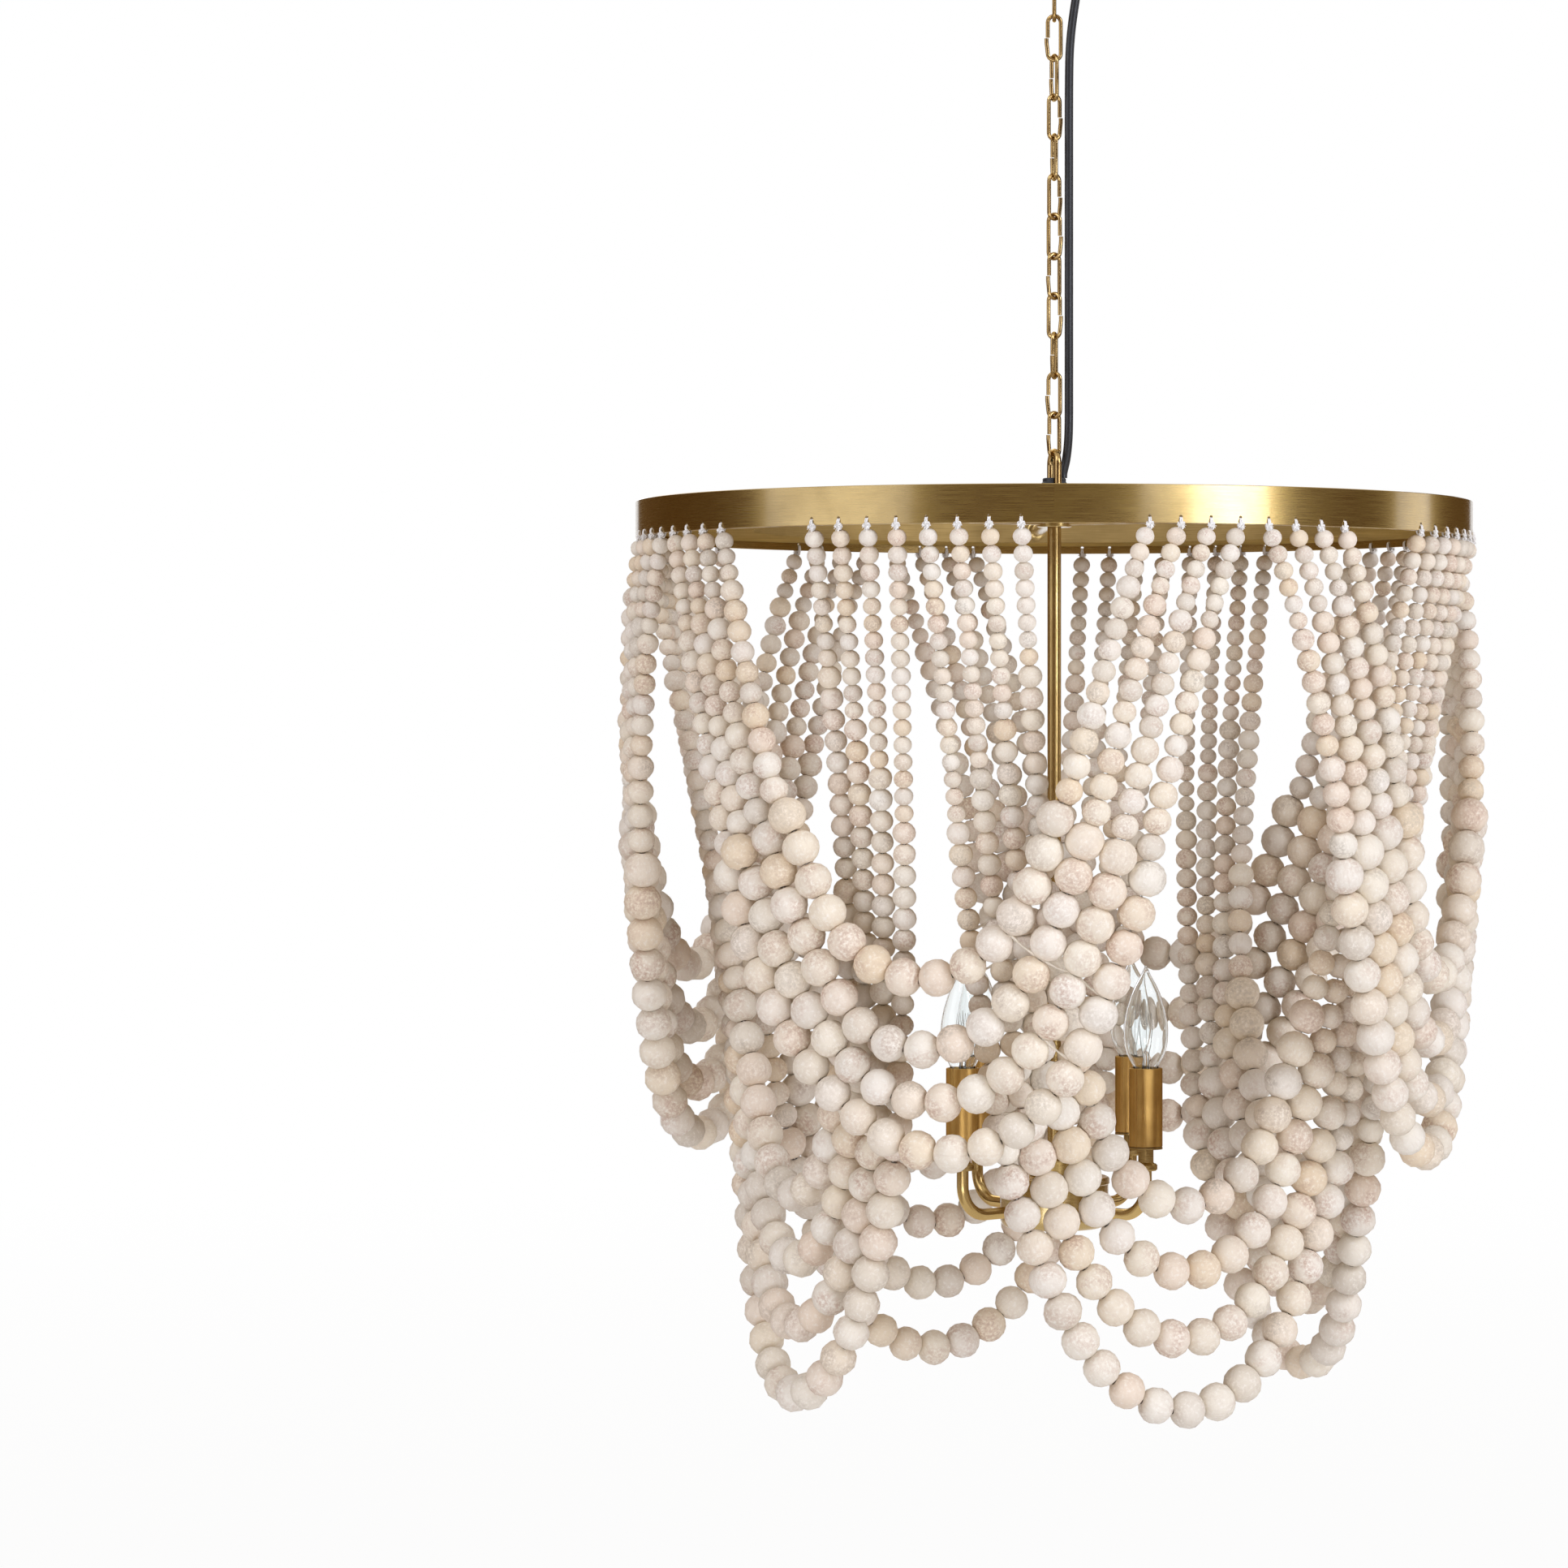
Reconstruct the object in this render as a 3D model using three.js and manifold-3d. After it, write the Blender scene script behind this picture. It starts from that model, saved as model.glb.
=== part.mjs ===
// Beaded chandelier: ceiling fixing, chain, brass ring, eight sets of bead swags, four lamps.
// Millimetres, +Z up. The origin is the centre of the ceiling strap's top face.
// Azimuth 0 faces the viewer along -Y and grows towards +X.

import * as THREE from 'three';
import { mergeVertices } from 'three/addons/utils/BufferGeometryUtils.js';
import Module from 'manifold-3d';

const wasm = await Module();
wasm.setup();

// Gaps and cutters
const clearance = 0.3;
const overrun = 1;
const weldTolerance = 0.0001;

// Ceiling strap and its screws
const strapLength = 96;
const strapWidth = 26;
const strapThickness = 3;
const strapBossDiameter = 18;
const strapBossHeight = 14;
const strapScrewSpacing = 70;
const strapScrewDiameter = 4.2;
const strapScrewHeadDiameter = 8;
const strapScrewHeadHeight = 3;

// Canopy
const canopyDiameter = 128;
const canopyDepth = 28;
const canopyFlatDiameter = 62;
const canopyWall = 1.2;
const ceilingGap = 0.5;

// Eye under the canopy
const eyeStemDiameter = 9;
const eyeStemEngagement = 11;
const eyeCollarDiameter = 22;
const eyeCollarHeight = 7;
const eyeWire = 4.8;
const eyeWidth = 17;
const eyeLength = 26.2;

// Cord outlet bush in the canopy
const bushGap = 0.7;
const bushNeckDiameter = 10;
const bushFlangeDiameter = 13;
const bushFlangeThickness = 1.6;
const bushBodyDiameter = 11.6;
const bushTipDiameter = 9;
const bushBodyLength = 22;

// Chain
const linkTurns = [90, 180, 114, 33, 106, 37, -29, 217, -30, 254, 154, 220];
const linkWire = 3;
const linkLength = 35.3;
const linkWidth = 12.5;
const linkSlit = 0.5;

// Loop on the ring's boss, and the gland beside its legs
const loopWire = 5.3;
const loopWidth = 19;
const loopHeight = 26.05;
const loopTurn = 16;
const glandDiameter = 18.4;
const glandHeight = 6.3;

// Supply cord: its gap to the chain, and where it enters the gland
const cordDiameter = 6.3;
const cordChainGap = 1.3;
const cordEntryAcross = 6.3;
const cordEntryBack = 3;
const cordSteps = 26;

// Ring
const ringRadius = 305;
const bandHeight = 26.5;
const bandThickness = 2.5;
const ringTurn = -18.5;
const bayCount = 8;
const facetsPerBay = 11;
const holesPerBay = 8;
const holeDiameter = 3;
const holeHeight = 3.6;
const flangeAboveHoles = 0.6;
const flangeWidth = 82.5;
const flangeThickness = 2;
const innerBandThickness = 2;

// Spider and centre rod
const bossDiameter = 25.4;
const bossHeight = 29.3;
const bossRise = 9;
const spokeCount = 3;
const spokeDiameter = 9.5;
const spokeRise = 15;
const spokeTurn = 183.5;
const spokeFootDiameter = 15;
const spokeFootLength = 3;
const rodDiameter = 10;
const rodEngagement = 20;

// Light hub
const hubDrop = 465;
const hubDiameter = 79;
const hubDepth = 37.5;
const hubWall = 2;
const hubFloor = 2.5;
const hubEdgeRadius = 7;
const lidOverhang = 1;
const lidThickness = 5.5;
const lidCollarDiameter = 37.5;
const lidCollarHeight = 12;
const hubScrewDiameter = 5;
const hubScrewLength = 13;
const hubScrewHeadDiameter = 12;
const hubScrewHeadHeight = 4;

// Lamps
const lampAzimuths = [45, 142, 218, 315];
const lampRadius = 93;
const armDiameter = 8.5;
const armBendRadius = 22;
const armHeightInHub = 14;
const armInnerRadius = 20;
const armRiser = 10.7;
const lampCollarDiameter = 16.5;
const lampCollarHeight = 5;
const spigotDiameter = 11;
const spigotHeight = 10.5;
const seatThickness = 1.4;
const sleeveGap = 2.3;
const sleeveWall = 1.2;
const sleeveHeight = 56.5;
const socketWall = 1.7;
const socketInset = 16.5;
const bulbCapDiameter = 13;
const bulbCapLength = 23;
const bulbLength = 113;
const bulbDiameter = 32;

// Bead strands. A bead's diameter is a share of the distance between two holes of the ring.
const stringDiameter = 2;
const stringInset = 2.2;
const stringStand = 3;
const knotDrop = 3.3;
const strandStart = 3.8;
const strandSides = 5;
const strandSegments = 16;
const tubeFillShare = 0.84;
const waistShare = 0.05;
const pitchShare = 0.92;
const shallowLeanShare = 0.1304;
const deepBottomShare = 0.6815;
const deepCurveShare = 0.25;
const swagsPerSet = 4;
const shallowDrops = [315, 361, 403, 440];
const deepDrops = [470, 516, 563, 612];
const endBeadShare = 0.588;
const secondBeadShare = 0.744;
const thirdBeadShare = 0.886;
const mainBeadShare = 1.171;
const shallowEndBeads = [3, 4, 5, 6];
const deepEndBeads = [8, 11, 14, 17];
const shallowSecondBeads = 6;
const deepSecondBeads = 10;
const thirdBeads = 5;

// Facet counts
const wireSides = 6;
const tubeSides = 8;
const roundSides = 12;
const canopySides = 32;
const channelSides = 44;
const hubSides = 24;
const arcSteps = 5;

// Heights that follow from the sizes above
const canopyBottom = -ceilingGap - canopyDepth;
const eyeCollarBottom = canopyBottom - clearance - eyeCollarHeight;
const eyeBottom = eyeCollarBottom - eyeLength;
const bushOffset = eyeCollarDiameter / 2 + bushBodyDiameter / 2 + bushGap;
const bushTip = canopyBottom - clearance - bushBodyLength;
const linkReach = linkLength - linkWire;
const linkPitch = linkReach - linkWire - clearance;
const firstLinkTop = eyeBottom + eyeWire / 2 + clearance + linkWire / 2;
const lastLinkBottom = firstLinkTop - (linkTurns.length - 1) * linkPitch - linkReach;
const loopTop = lastLinkBottom + linkWire / 2 + clearance + loopWire / 2;
const loopFoot = loopTop - loopHeight;
const ringBottom = loopFoot - clearance - bossHeight - bossRise;
const bayAngle = 360 / bayCount;
const facetCount = bayCount * facetsPerBay;
const facetAngle = 360 / facetCount;
const bandMiddleRadius = ringRadius - bandThickness / 2;
const ringOpeningRadius = ringRadius - bandThickness - flangeWidth;
const flangeRise = holeHeight + holeDiameter / 2 + flangeAboveHoles;
const holePitch = THREE.MathUtils.degToRad(facetAngle) * ringRadius;

// Route of the supply cord, as shares: down the fall, inwards to the chain, onwards to the
// gland's entry, and backwards to it
const cordRouteShares = [
  [0, 0, 0, 0], [0.0131, 0, 0, 0], [0.0292, 0.044, 0, 0], [0.056, 0.22, 0, 0],
  [0.0882, 0.485, 0, 0], [0.1257, 0.75, 0, 0], [0.1686, 0.926, 0, 0], [0.2223, 0.985, 0, 0],
  [0.292, 1, 0, 0], [0.3724, 1, 0, 0], [0.4528, 1, 0, 0], [0.5332, 1, 0, 0],
  [0.6137, 1, 0, 0], [0.6941, 1, 0, 0], [0.7638, 1, 0, 0], [0.8282, 1, 0, 0],
  [0.8764, 1, 0, 0.033], [0.9113, 1, 0.045, 0.133], [0.9381, 1, 0.182, 0.333],
  [0.9622, 1, 0.432, 0.6], [0.9799, 1, 0.75, 0.867], [0.9906, 1, 0.955, 1], [1, 1, 1, 1],
];

const radians = THREE.MathUtils.degToRad;

function around(azimuth, radius, height) {
  const angle = radians(azimuth);
  return new THREE.Vector3(radius * Math.sin(angle), -radius * Math.cos(angle), height);
}

// Radius of the circle inside a regular polygon whose corners lie at the given radius
function innerRadius(cornerRadius, sides) {
  return cornerRadius * Math.cos(Math.PI / sides);
}

// Welds equal points and drops triangles that have no area
function weld(geometry) {
  const bare = new THREE.BufferGeometry();
  bare.setAttribute('position', geometry.getAttribute('position').clone());
  if (geometry.index) bare.setIndex(geometry.index.clone());
  const welded = mergeVertices(bare, weldTolerance);
  const index = welded.index.array;
  const kept = [];
  for (let i = 0; i < index.length; i += 3) {
    const [a, b, c] = [index[i], index[i + 1], index[i + 2]];
    if (a !== b && b !== c && c !== a) kept.push(a, b, c);
  }
  welded.setIndex(kept);
  return welded;
}

function toManifold(geometry) {
  const welded = weld(geometry);
  return new wasm.Manifold(new wasm.Mesh({
    numProp: 3,
    vertProperties: new Float32Array(welded.getAttribute('position').array),
    triVerts: new Uint32Array(welded.index.array),
  }));
}

function fromManifold(solid) {
  const mesh = solid.getMesh();
  const geometry = new THREE.BufferGeometry();
  geometry.setAttribute('position', new THREE.BufferAttribute(mesh.vertProperties, mesh.numProp));
  geometry.setIndex(new THREE.BufferAttribute(mesh.triVerts, 1));
  return geometry;
}

function join(...geometries) {
  return fromManifold(geometries.map(toManifold).reduce((whole, next) => whole.add(next)));
}

function cut(geometry, ...cutters) {
  const solid = cutters.map(toManifold).reduce((rest, next) => rest.subtract(next), toManifold(geometry));
  return fromManifold(solid);
}

// Solid of revolution about Z. The outline is closed and runs counter-clockwise in radius, height.
function lathe(outline, sides, startAngle = 0) {
  const points = [...outline, outline[0]].map(([radius, height]) => new THREE.Vector2(radius, height));
  return weld(new THREE.LatheGeometry(points, sides, radians(startAngle)).rotateX(Math.PI / 2));
}

function cylinder(diameter, bottom, top, sides) {
  const radius = diameter / 2;
  return lathe([[0, bottom], [radius, bottom], [radius, top], [0, top]], sides);
}

// Cylinder that lies along a radius of the ring
function radialCylinder(diameter, fromRadius, toRadius, height, azimuth, sides) {
  return new THREE.CylinderGeometry(diameter / 2, diameter / 2, toRadius - fromRadius, sides)
    .translate(0, -(fromRadius + toRadius) / 2, height)
    .rotateZ(radians(azimuth));
}

// Tube through the given points with one radius each, its section carried along without twist
function tube(points, radii, sides, closed = false) {
  const count = points.length;
  const at = (i) => (closed ? points[(i + count) % count] : points[Math.min(Math.max(i, 0), count - 1)]);
  const normal = new THREE.Vector3();
  const corners = [];
  for (let i = 0; i < count; i += 1) {
    const tangent = at(i + 1).clone().sub(at(i - 1)).normalize();
    if (i === 0) {
      const steep = Math.abs(tangent.z) > Math.SQRT1_2;
      normal.set(0, steep ? 1 : 0, steep ? 0 : 1);
    }
    normal.addScaledVector(tangent, -normal.dot(tangent)).normalize();
    const binormal = tangent.clone().cross(normal);
    for (let j = 0; j < sides; j += 1) {
      const angle = ((j + 0.5) / sides) * 2 * Math.PI;
      const corner = points[i].clone()
        .addScaledVector(normal, radii[i] * Math.cos(angle))
        .addScaledVector(binormal, radii[i] * Math.sin(angle));
      corners.push(corner.x, corner.y, corner.z);
    }
  }
  const geometry = new THREE.BufferGeometry();
  geometry.setAttribute('position', new THREE.Float32BufferAttribute(corners, 3));
  geometry.setIndex(tubeFaces(count, sides, closed));
  return geometry;
}

function tubeFaces(count, sides, closed) {
  const faces = [];
  const spans = closed ? count : count - 1;
  for (let i = 0; i < spans; i += 1) {
    const near = i * sides;
    const far = ((i + 1) % count) * sides;
    for (let j = 0; j < sides; j += 1) {
      const next = (j + 1) % sides;
      faces.push(near + j, near + next, far + next, near + j, far + next, far + j);
    }
  }
  const last = (count - 1) * sides;
  for (let j = 1; j < sides - 1 && !closed; j += 1) {
    faces.push(0, j + 1, j, last, last + j, last + j + 1);
  }
  return faces;
}

// Oval centre line in the XZ plane with its lowest point at height zero. It starts and ends
// halfway up the right-hand side, where a gap of the given size is left.
function ovalPath(width, length, gap) {
  const radius = width / 2;
  const points = [];
  const arc = (centre, from) => {
    for (let i = 0; i <= arcSteps; i += 1) {
      const angle = from + (Math.PI * i) / arcSteps;
      points.push(new THREE.Vector3(radius * Math.cos(angle), 0, centre + radius * Math.sin(angle)));
    }
  };
  if (gap > 0) points.push(new THREE.Vector3(radius, 0, (length + gap) / 2));
  arc(length - radius, 0);
  arc(radius, Math.PI);
  if (gap > 0) points.push(new THREE.Vector3(radius, 0, (length - gap) / 2));
  return points;
}

function wireOval(wire, width, length, gap, sides) {
  const points = ovalPath(width, length, gap);
  return tube(points, points.map(() => wire / 2), sides, gap === 0);
}

function add(parent, name, geometry, color, roughness, metalness) {
  const material = new THREE.MeshStandardMaterial({ color, roughness, metalness });
  const mesh = new THREE.Mesh(geometry, material);
  mesh.name = name;
  parent.add(mesh);
  return mesh;
}

const addBrass = (parent, name, geometry) => add(parent, name, geometry, '#8f6a30', 0.36, 1);
const addSteel = (parent, name, geometry) => add(parent, name, geometry, '#b8b6b0', 0.4, 1);
const addBlack = (parent, name, geometry) => add(parent, name, geometry, '#17171a', 0.55, 0);
const addWood = (parent, name, geometry) => add(parent, name, geometry, '#e6d8c6', 0.75, 0);
const addGlass = (parent, name, geometry) => {
  const mesh = add(parent, name, geometry, '#f4f6f6', 0.05, 0);
  mesh.material.transparent = true;
  mesh.material.opacity = 0.3;
  return mesh;
};

// Ceiling strap: a bar with a blind-bored boss below its middle and a hole for each screw
function strapShape() {
  const bar = new THREE.BoxGeometry(strapLength, strapWidth, strapThickness)
    .translate(0, 0, -strapThickness / 2);
  const bossEnd = -strapThickness - strapBossHeight;
  const boss = cylinder(strapBossDiameter, bossEnd, -strapThickness / 2, roundSides);
  const boreDiameter = eyeStemDiameter + 2 * clearance;
  const boreTop = bossEnd + eyeStemEngagement + clearance;
  const bore = cylinder(boreDiameter, bossEnd - overrun, boreTop, roundSides);
  const holes = [-1, 1].map((side) => cylinder(
    strapScrewDiameter + 2 * clearance, -strapThickness - overrun, overrun, tubeSides,
  ).translate((side * strapScrewSpacing) / 2, 0, 0));
  return cut(join(bar, boss), bore, ...holes);
}

function strapScrewShape() {
  const headTop = -strapThickness - clearance;
  const head = headTop - strapScrewHeadHeight;
  const shank = strapScrewDiameter / 2;
  const rim = strapScrewHeadDiameter / 2;
  const outline = [
    [0, head], [rim, head], [rim, headTop], [shank, headTop], [shank, -clearance], [0, -clearance],
  ];
  return lathe(outline, tubeSides);
}

// Canopy: a thin dome, open at the ceiling, with a hole for the eye's stem and one for the bush
function canopyShape() {
  const flat = canopyFlatDiameter / 2;
  const reach = canopyDiameter / 2 - flat;
  const outer = [];
  const inner = [];
  for (let i = 0; i <= arcSteps; i += 1) {
    const angle = ((Math.PI / 2) * i) / arcSteps;
    const [across, down] = [Math.cos(angle), Math.sin(angle)];
    outer.unshift([flat + reach * across, -ceilingGap - canopyDepth * down]);
    inner.push([flat + (reach - canopyWall) * across, -ceilingGap - (canopyDepth - canopyWall) * down]);
  }
  const hole = eyeStemDiameter / 2 + clearance;
  const floor = canopyBottom + canopyWall;
  const shell = lathe([[hole, canopyBottom], ...outer, ...inner, [hole, floor]], canopySides);
  const bushHole = cylinder(
    bushNeckDiameter + 2 * clearance, canopyBottom - overrun, floor + overrun, roundSides,
  ).translate(bushOffset, 0, 0);
  return cut(shell, bushHole);
}

function eyeShape() {
  const stemTop = -strapThickness - strapBossHeight + eyeStemEngagement;
  const stem = eyeStemDiameter / 2;
  const collar = eyeCollarDiameter / 2;
  const collarTop = eyeCollarBottom + eyeCollarHeight;
  const outline = [
    [0, eyeCollarBottom], [collar, eyeCollarBottom], [collar, collarTop],
    [stem, collarTop], [stem, stemTop], [0, stemTop],
  ];
  const oval = wireOval(eyeWire, eyeWidth, eyeLength, 0, tubeSides).translate(0, 0, eyeBottom);
  return join(lathe(outline, roundSides), oval);
}

function bushShape() {
  const floor = canopyBottom + canopyWall;
  const [neck, flange] = [bushNeckDiameter / 2, bushFlangeDiameter / 2];
  const shoulder = canopyBottom - clearance;
  const outline = [
    [0, bushTip], [bushTipDiameter / 2, bushTip],
    [bushBodyDiameter / 2, shoulder], [neck, shoulder], [neck, floor + clearance],
    [flange, floor + clearance], [flange, floor + clearance + bushFlangeThickness],
    [0, floor + clearance + bushFlangeThickness],
  ];
  return lathe(outline, roundSides).translate(bushOffset, 0, 0);
}

function addCeilingFixing(parent) {
  addSteel(parent, 'mounting_strap', strapShape());
  for (const [side, name] of [[-1, 'strap_screw_left'], [1, 'strap_screw_right']]) {
    const screw = addSteel(parent, name, strapScrewShape());
    screw.position.x = (side * strapScrewSpacing) / 2;
  }
  addBrass(parent, 'canopy', canopyShape());
  addBrass(parent, 'canopy_eye', eyeShape());
  addBlack(parent, 'cord_bush', bushShape());
}

// Chain: each link is turned about the chain's line, the first two square to each other
function addChain(parent) {
  linkTurns.forEach((turn, i) => {
    const shape = wireOval(linkWire, linkWidth - linkWire, linkReach, linkSlit, wireSides);
    const link = addBrass(parent, `chain_link_${String(i + 1).padStart(2, '0')}`, shape);
    link.position.z = firstLinkTop - i * linkPitch - linkReach;
    link.rotation.z = radians(turn);
  });
}

function legPlace(side) {
  return around(loopTurn, (side * loopWidth) / 2, 0);
}

// Loop: an arch whose two legs stand on the boss
function loopShape() {
  const radius = loopWidth / 2;
  const spring = loopHeight - radius;
  const points = [new THREE.Vector3(0, -radius, 0)];
  for (let i = 0; i <= arcSteps; i += 1) {
    const angle = (Math.PI * i) / arcSteps;
    points.push(new THREE.Vector3(0, -radius * Math.cos(angle), spring + radius * Math.sin(angle)));
  }
  points.push(new THREE.Vector3(0, radius, 0));
  return tube(points, points.map(() => loopWire / 2), tubeSides);
}

// Gland: a black disc on the boss, notched for the legs of the loop
function glandShape() {
  const notch = (side) => {
    const place = legPlace(side);
    return cylinder(loopWire + 4 * clearance, -overrun, glandHeight + overrun, roundSides)
      .translate(place.x, place.y, 0);
  };
  return cut(cylinder(glandDiameter, 0, glandHeight, roundSides), notch(-1), notch(1));
}

function cordShape() {
  const top = bushTip - clearance;
  const fall = top - (loopFoot + glandHeight + clearance);
  const run = (linkWidth + cordDiameter) / 2 + cordChainGap;
  const route = new THREE.CatmullRomCurve3(cordRouteShares.map(([down, inwards, onwards, back]) => (
    new THREE.Vector3(
      bushOffset + (run - bushOffset) * inwards + (cordEntryAcross - run) * onwards,
      cordEntryBack * back,
      top - fall * down,
    ))));
  const section = new THREE.Shape();
  for (let i = 0; i < tubeSides; i += 1) {
    const angle = (2 * Math.PI * i) / tubeSides;
    const [x, y] = [(cordDiameter / 2) * Math.cos(angle), (cordDiameter / 2) * Math.sin(angle)];
    if (i === 0) section.moveTo(x, y);
    else section.lineTo(x, y);
  }
  const sweep = { steps: cordSteps, bevelEnabled: false, extrudePath: route };
  return weld(new THREE.ExtrudeGeometry(section, sweep));
}

function addLoopAndCord(parent) {
  const loop = addBrass(parent, 'hub_loop', loopShape());
  loop.position.z = loopFoot;
  loop.rotation.z = radians(loopTurn);
  const gland = addBlack(parent, 'cord_gland', glandShape());
  gland.position.z = loopFoot;
  addBlack(parent, 'pendant_cord', cordShape());
}

// Azimuth of the hole that holds one end of a swag, from the middle of its set
function holeOffset(swag) {
  return bayAngle - facetAngle * (swagsPerSet + 0.5 - swag);
}

// Outer band: one facet for each hole place, and a hole in eight of every eleven
function bandShape() {
  const inside = ringRadius - bandThickness;
  const outline = [[inside, 0], [ringRadius, 0], [ringRadius, bandHeight], [inside, bandHeight]];
  const holes = [];
  for (let bay = 0; bay < bayCount; bay += 1) {
    for (let i = 0; i < holesPerBay; i += 1) {
      const azimuth = ringTurn + bay * bayAngle + (i + 0.5 - holesPerBay / 2) * facetAngle;
      holes.push(radialCylinder(
        holeDiameter, inside - overrun, ringRadius + overrun, holeHeight, azimuth, wireSides,
      ));
    }
  }
  return cut(lathe(outline, facetCount, ringTurn), ...holes);
}

// Flange and inner band, which close the ring from below
function channelShape() {
  const flangeRadius = innerRadius(ringRadius - bandThickness, facetCount) - clearance;
  const wall = ringOpeningRadius + innerBandThickness;
  const flangeTop = flangeRise + flangeThickness;
  const outline = [
    [ringOpeningRadius, flangeRise], [flangeRadius, flangeRise], [flangeRadius, flangeTop],
    [wall, flangeTop], [wall, bandHeight], [ringOpeningRadius, bandHeight],
  ];
  return lathe(outline, channelSides, ringTurn);
}

// Spider: a boss bored for the rod, and spokes whose feet meet the inner band
function spiderShape() {
  const reach = innerRadius(ringOpeningRadius, channelSides) - clearance;
  const root = (bossDiameter + rodDiameter) / 4;
  const footStart = reach - spokeFootLength;
  const bars = [];
  for (let i = 0; i < spokeCount; i += 1) {
    const azimuth = spokeTurn + (i * 360) / spokeCount;
    bars.push(radialCylinder(spokeDiameter, root, reach, spokeRise, azimuth, tubeSides));
    bars.push(radialCylinder(spokeFootDiameter, footStart, reach, spokeRise, azimuth, roundSides));
  }
  const boss = cylinder(bossDiameter, bossRise, bossRise + bossHeight, roundSides);
  const bore = cylinder(
    rodDiameter + 2 * clearance, bossRise - overrun, bossRise + rodEngagement + clearance, roundSides,
  );
  return cut(join(boss, ...bars), bore);
}

function addRing(parent) {
  addBrass(parent, 'ring_band', bandShape());
  addBrass(parent, 'ring_channel', channelShape());
  addBrass(parent, 'ring_spider', spiderShape());
}

// Sag parameter of a catenary of the given half span and drop
function sagOf(halfSpan, drop) {
  let [low, high] = [halfSpan / 8, halfSpan * 8];
  for (let i = 0; i < 60; i += 1) {
    const middle = (low + high) / 2;
    if (middle * (Math.cosh(halfSpan / middle) - 1) > drop) low = middle;
    else high = middle;
  }
  return low;
}

// Bead diameter at a distance along the string from the ring
function beadDiameterAt(distance, deep, swag) {
  const ends = (deep ? deepEndBeads : shallowEndBeads)[swag - 1];
  const zones = [
    [ends, endBeadShare],
    [deep ? deepSecondBeads : shallowSecondBeads, secondBeadShare],
    [thirdBeads, thirdBeadShare],
  ];
  let reached = strandStart;
  for (const [count, share] of zones) {
    const diameter = share * holePitch;
    reached += count * diameter * pitchShare;
    if (distance < reached) return diameter;
  }
  return mainBeadShare * holePitch;
}

// Distance from the axis at a depth below the ring: outer sets lean in a little, inner sets more
function strandRadius(depth, drop, deep) {
  if (!deep) return bandMiddleRadius * (1 - (shallowLeanShare * depth) / Math.max(...shallowDrops));
  const part = depth / drop;
  const gathered = (1 + deepCurveShare) * part - deepCurveShare * part * part;
  return bandMiddleRadius * (1 - (1 - deepBottomShare) * gathered);
}

// Centre line and radii of one swag, closer together where it turns
function swagLine(azimuth, deep, swag) {
  const drop = (deep ? deepDrops : shallowDrops)[swag - 1];
  const halfSpan = bandMiddleRadius * Math.sin(radians(holeOffset(swag)));
  const sag = sagOf(halfSpan, drop);
  const halfLength = sag * Math.sinh(halfSpan / sag);
  const turned = (distance) => Math.atan(distance / sag);
  const share = (distance) => distance / halfLength + turned(distance) / turned(halfLength);
  const distanceAt = (wanted) => {
    let [low, high] = [0, halfLength];
    for (let i = 0; i < 50; i += 1) {
      const middle = (low + high) / 2;
      if (share(middle) < wanted) low = middle;
      else high = middle;
    }
    return low;
  };
  const top = share(halfLength - strandStart);
  const line = [];
  for (let i = 0; i <= strandSegments; i += 1) {
    const part = (2 * i) / strandSegments - 1;
    const along = Math.sign(part) * distanceAt(Math.abs(part) * top);
    const depth = drop - sag * (Math.hypot(along / sag, 1) - 1);
    const level = depth / drop;
    const sideways = sag * Math.asinh(along / sag) * (1 - 4 * waistShare * level * (1 - level));
    const radius = strandRadius(depth, drop, deep);
    const offset = THREE.MathUtils.radToDeg(Math.asin(sideways / radius));
    const diameter = beadDiameterAt(halfLength - Math.abs(along), deep, swag);
    const point = around(azimuth + offset, radius, -depth);
    line.push({ point, radius: (tubeFillShare * diameter) / 2 });
  }
  return line;
}

// String from behind the band, through its hole and round its lower edge, down to the first bead
function stringEnd(azimuth) {
  const inside = ringRadius - bandThickness - stringInset;
  const outside = ringRadius + stringStand;
  const places = [[inside, holeHeight], [outside, holeHeight], [ringRadius, -knotDrop]];
  return places.map(([radius, height]) => (
    { point: around(azimuth, radius, height), radius: stringDiameter / 2 }));
}

// Two neighbouring swags on one string, which passes behind the band between them
function strandPairShape(azimuth, deep, swag) {
  const ends = (side, number) => stringEnd(azimuth + side * holeOffset(number));
  const strand = (number) => (
    [...ends(-1, number), ...swagLine(azimuth, deep, number), ...ends(1, number).reverse()]);
  const line = [...strand(swag), ...strand(swag + 1).reverse()];
  return tube(line.map((entry) => entry.point), line.map((entry) => entry.radius), strandSides);
}

function addStrands(parent) {
  for (let bay = 0; bay < bayCount; bay += 1) {
    const deep = bay % 2 === 1;
    const azimuth = ringTurn + bay * bayAngle;
    const set = `${deep ? 'inner' : 'outer'}_set_${Math.floor(bay / 2) + 1}`;
    addWood(parent, `${set}_upper_strands`, strandPairShape(azimuth, deep, 1));
    addWood(parent, `${set}_lower_strands`, strandPairShape(azimuth, deep, 3));
  }
}

const hubTop = -hubDrop;
const drumTop = hubTop - lidThickness - clearance;
const drumBottom = hubTop - hubDepth;
const armHeight = drumBottom + armHeightInHub;
const rodBore = hubScrewDiameter + 2 * clearance;

function addRod(parent) {
  const top = bossRise + rodEngagement;
  const bottom = drumBottom + hubFloor + clearance;
  const [bore, outside] = [rodBore / 2, rodDiameter / 2];
  const outline = [[bore, bottom], [outside, bottom], [outside, top], [bore, top]];
  addBrass(parent, 'centre_rod', lathe(outline, roundSides));
}

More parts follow.
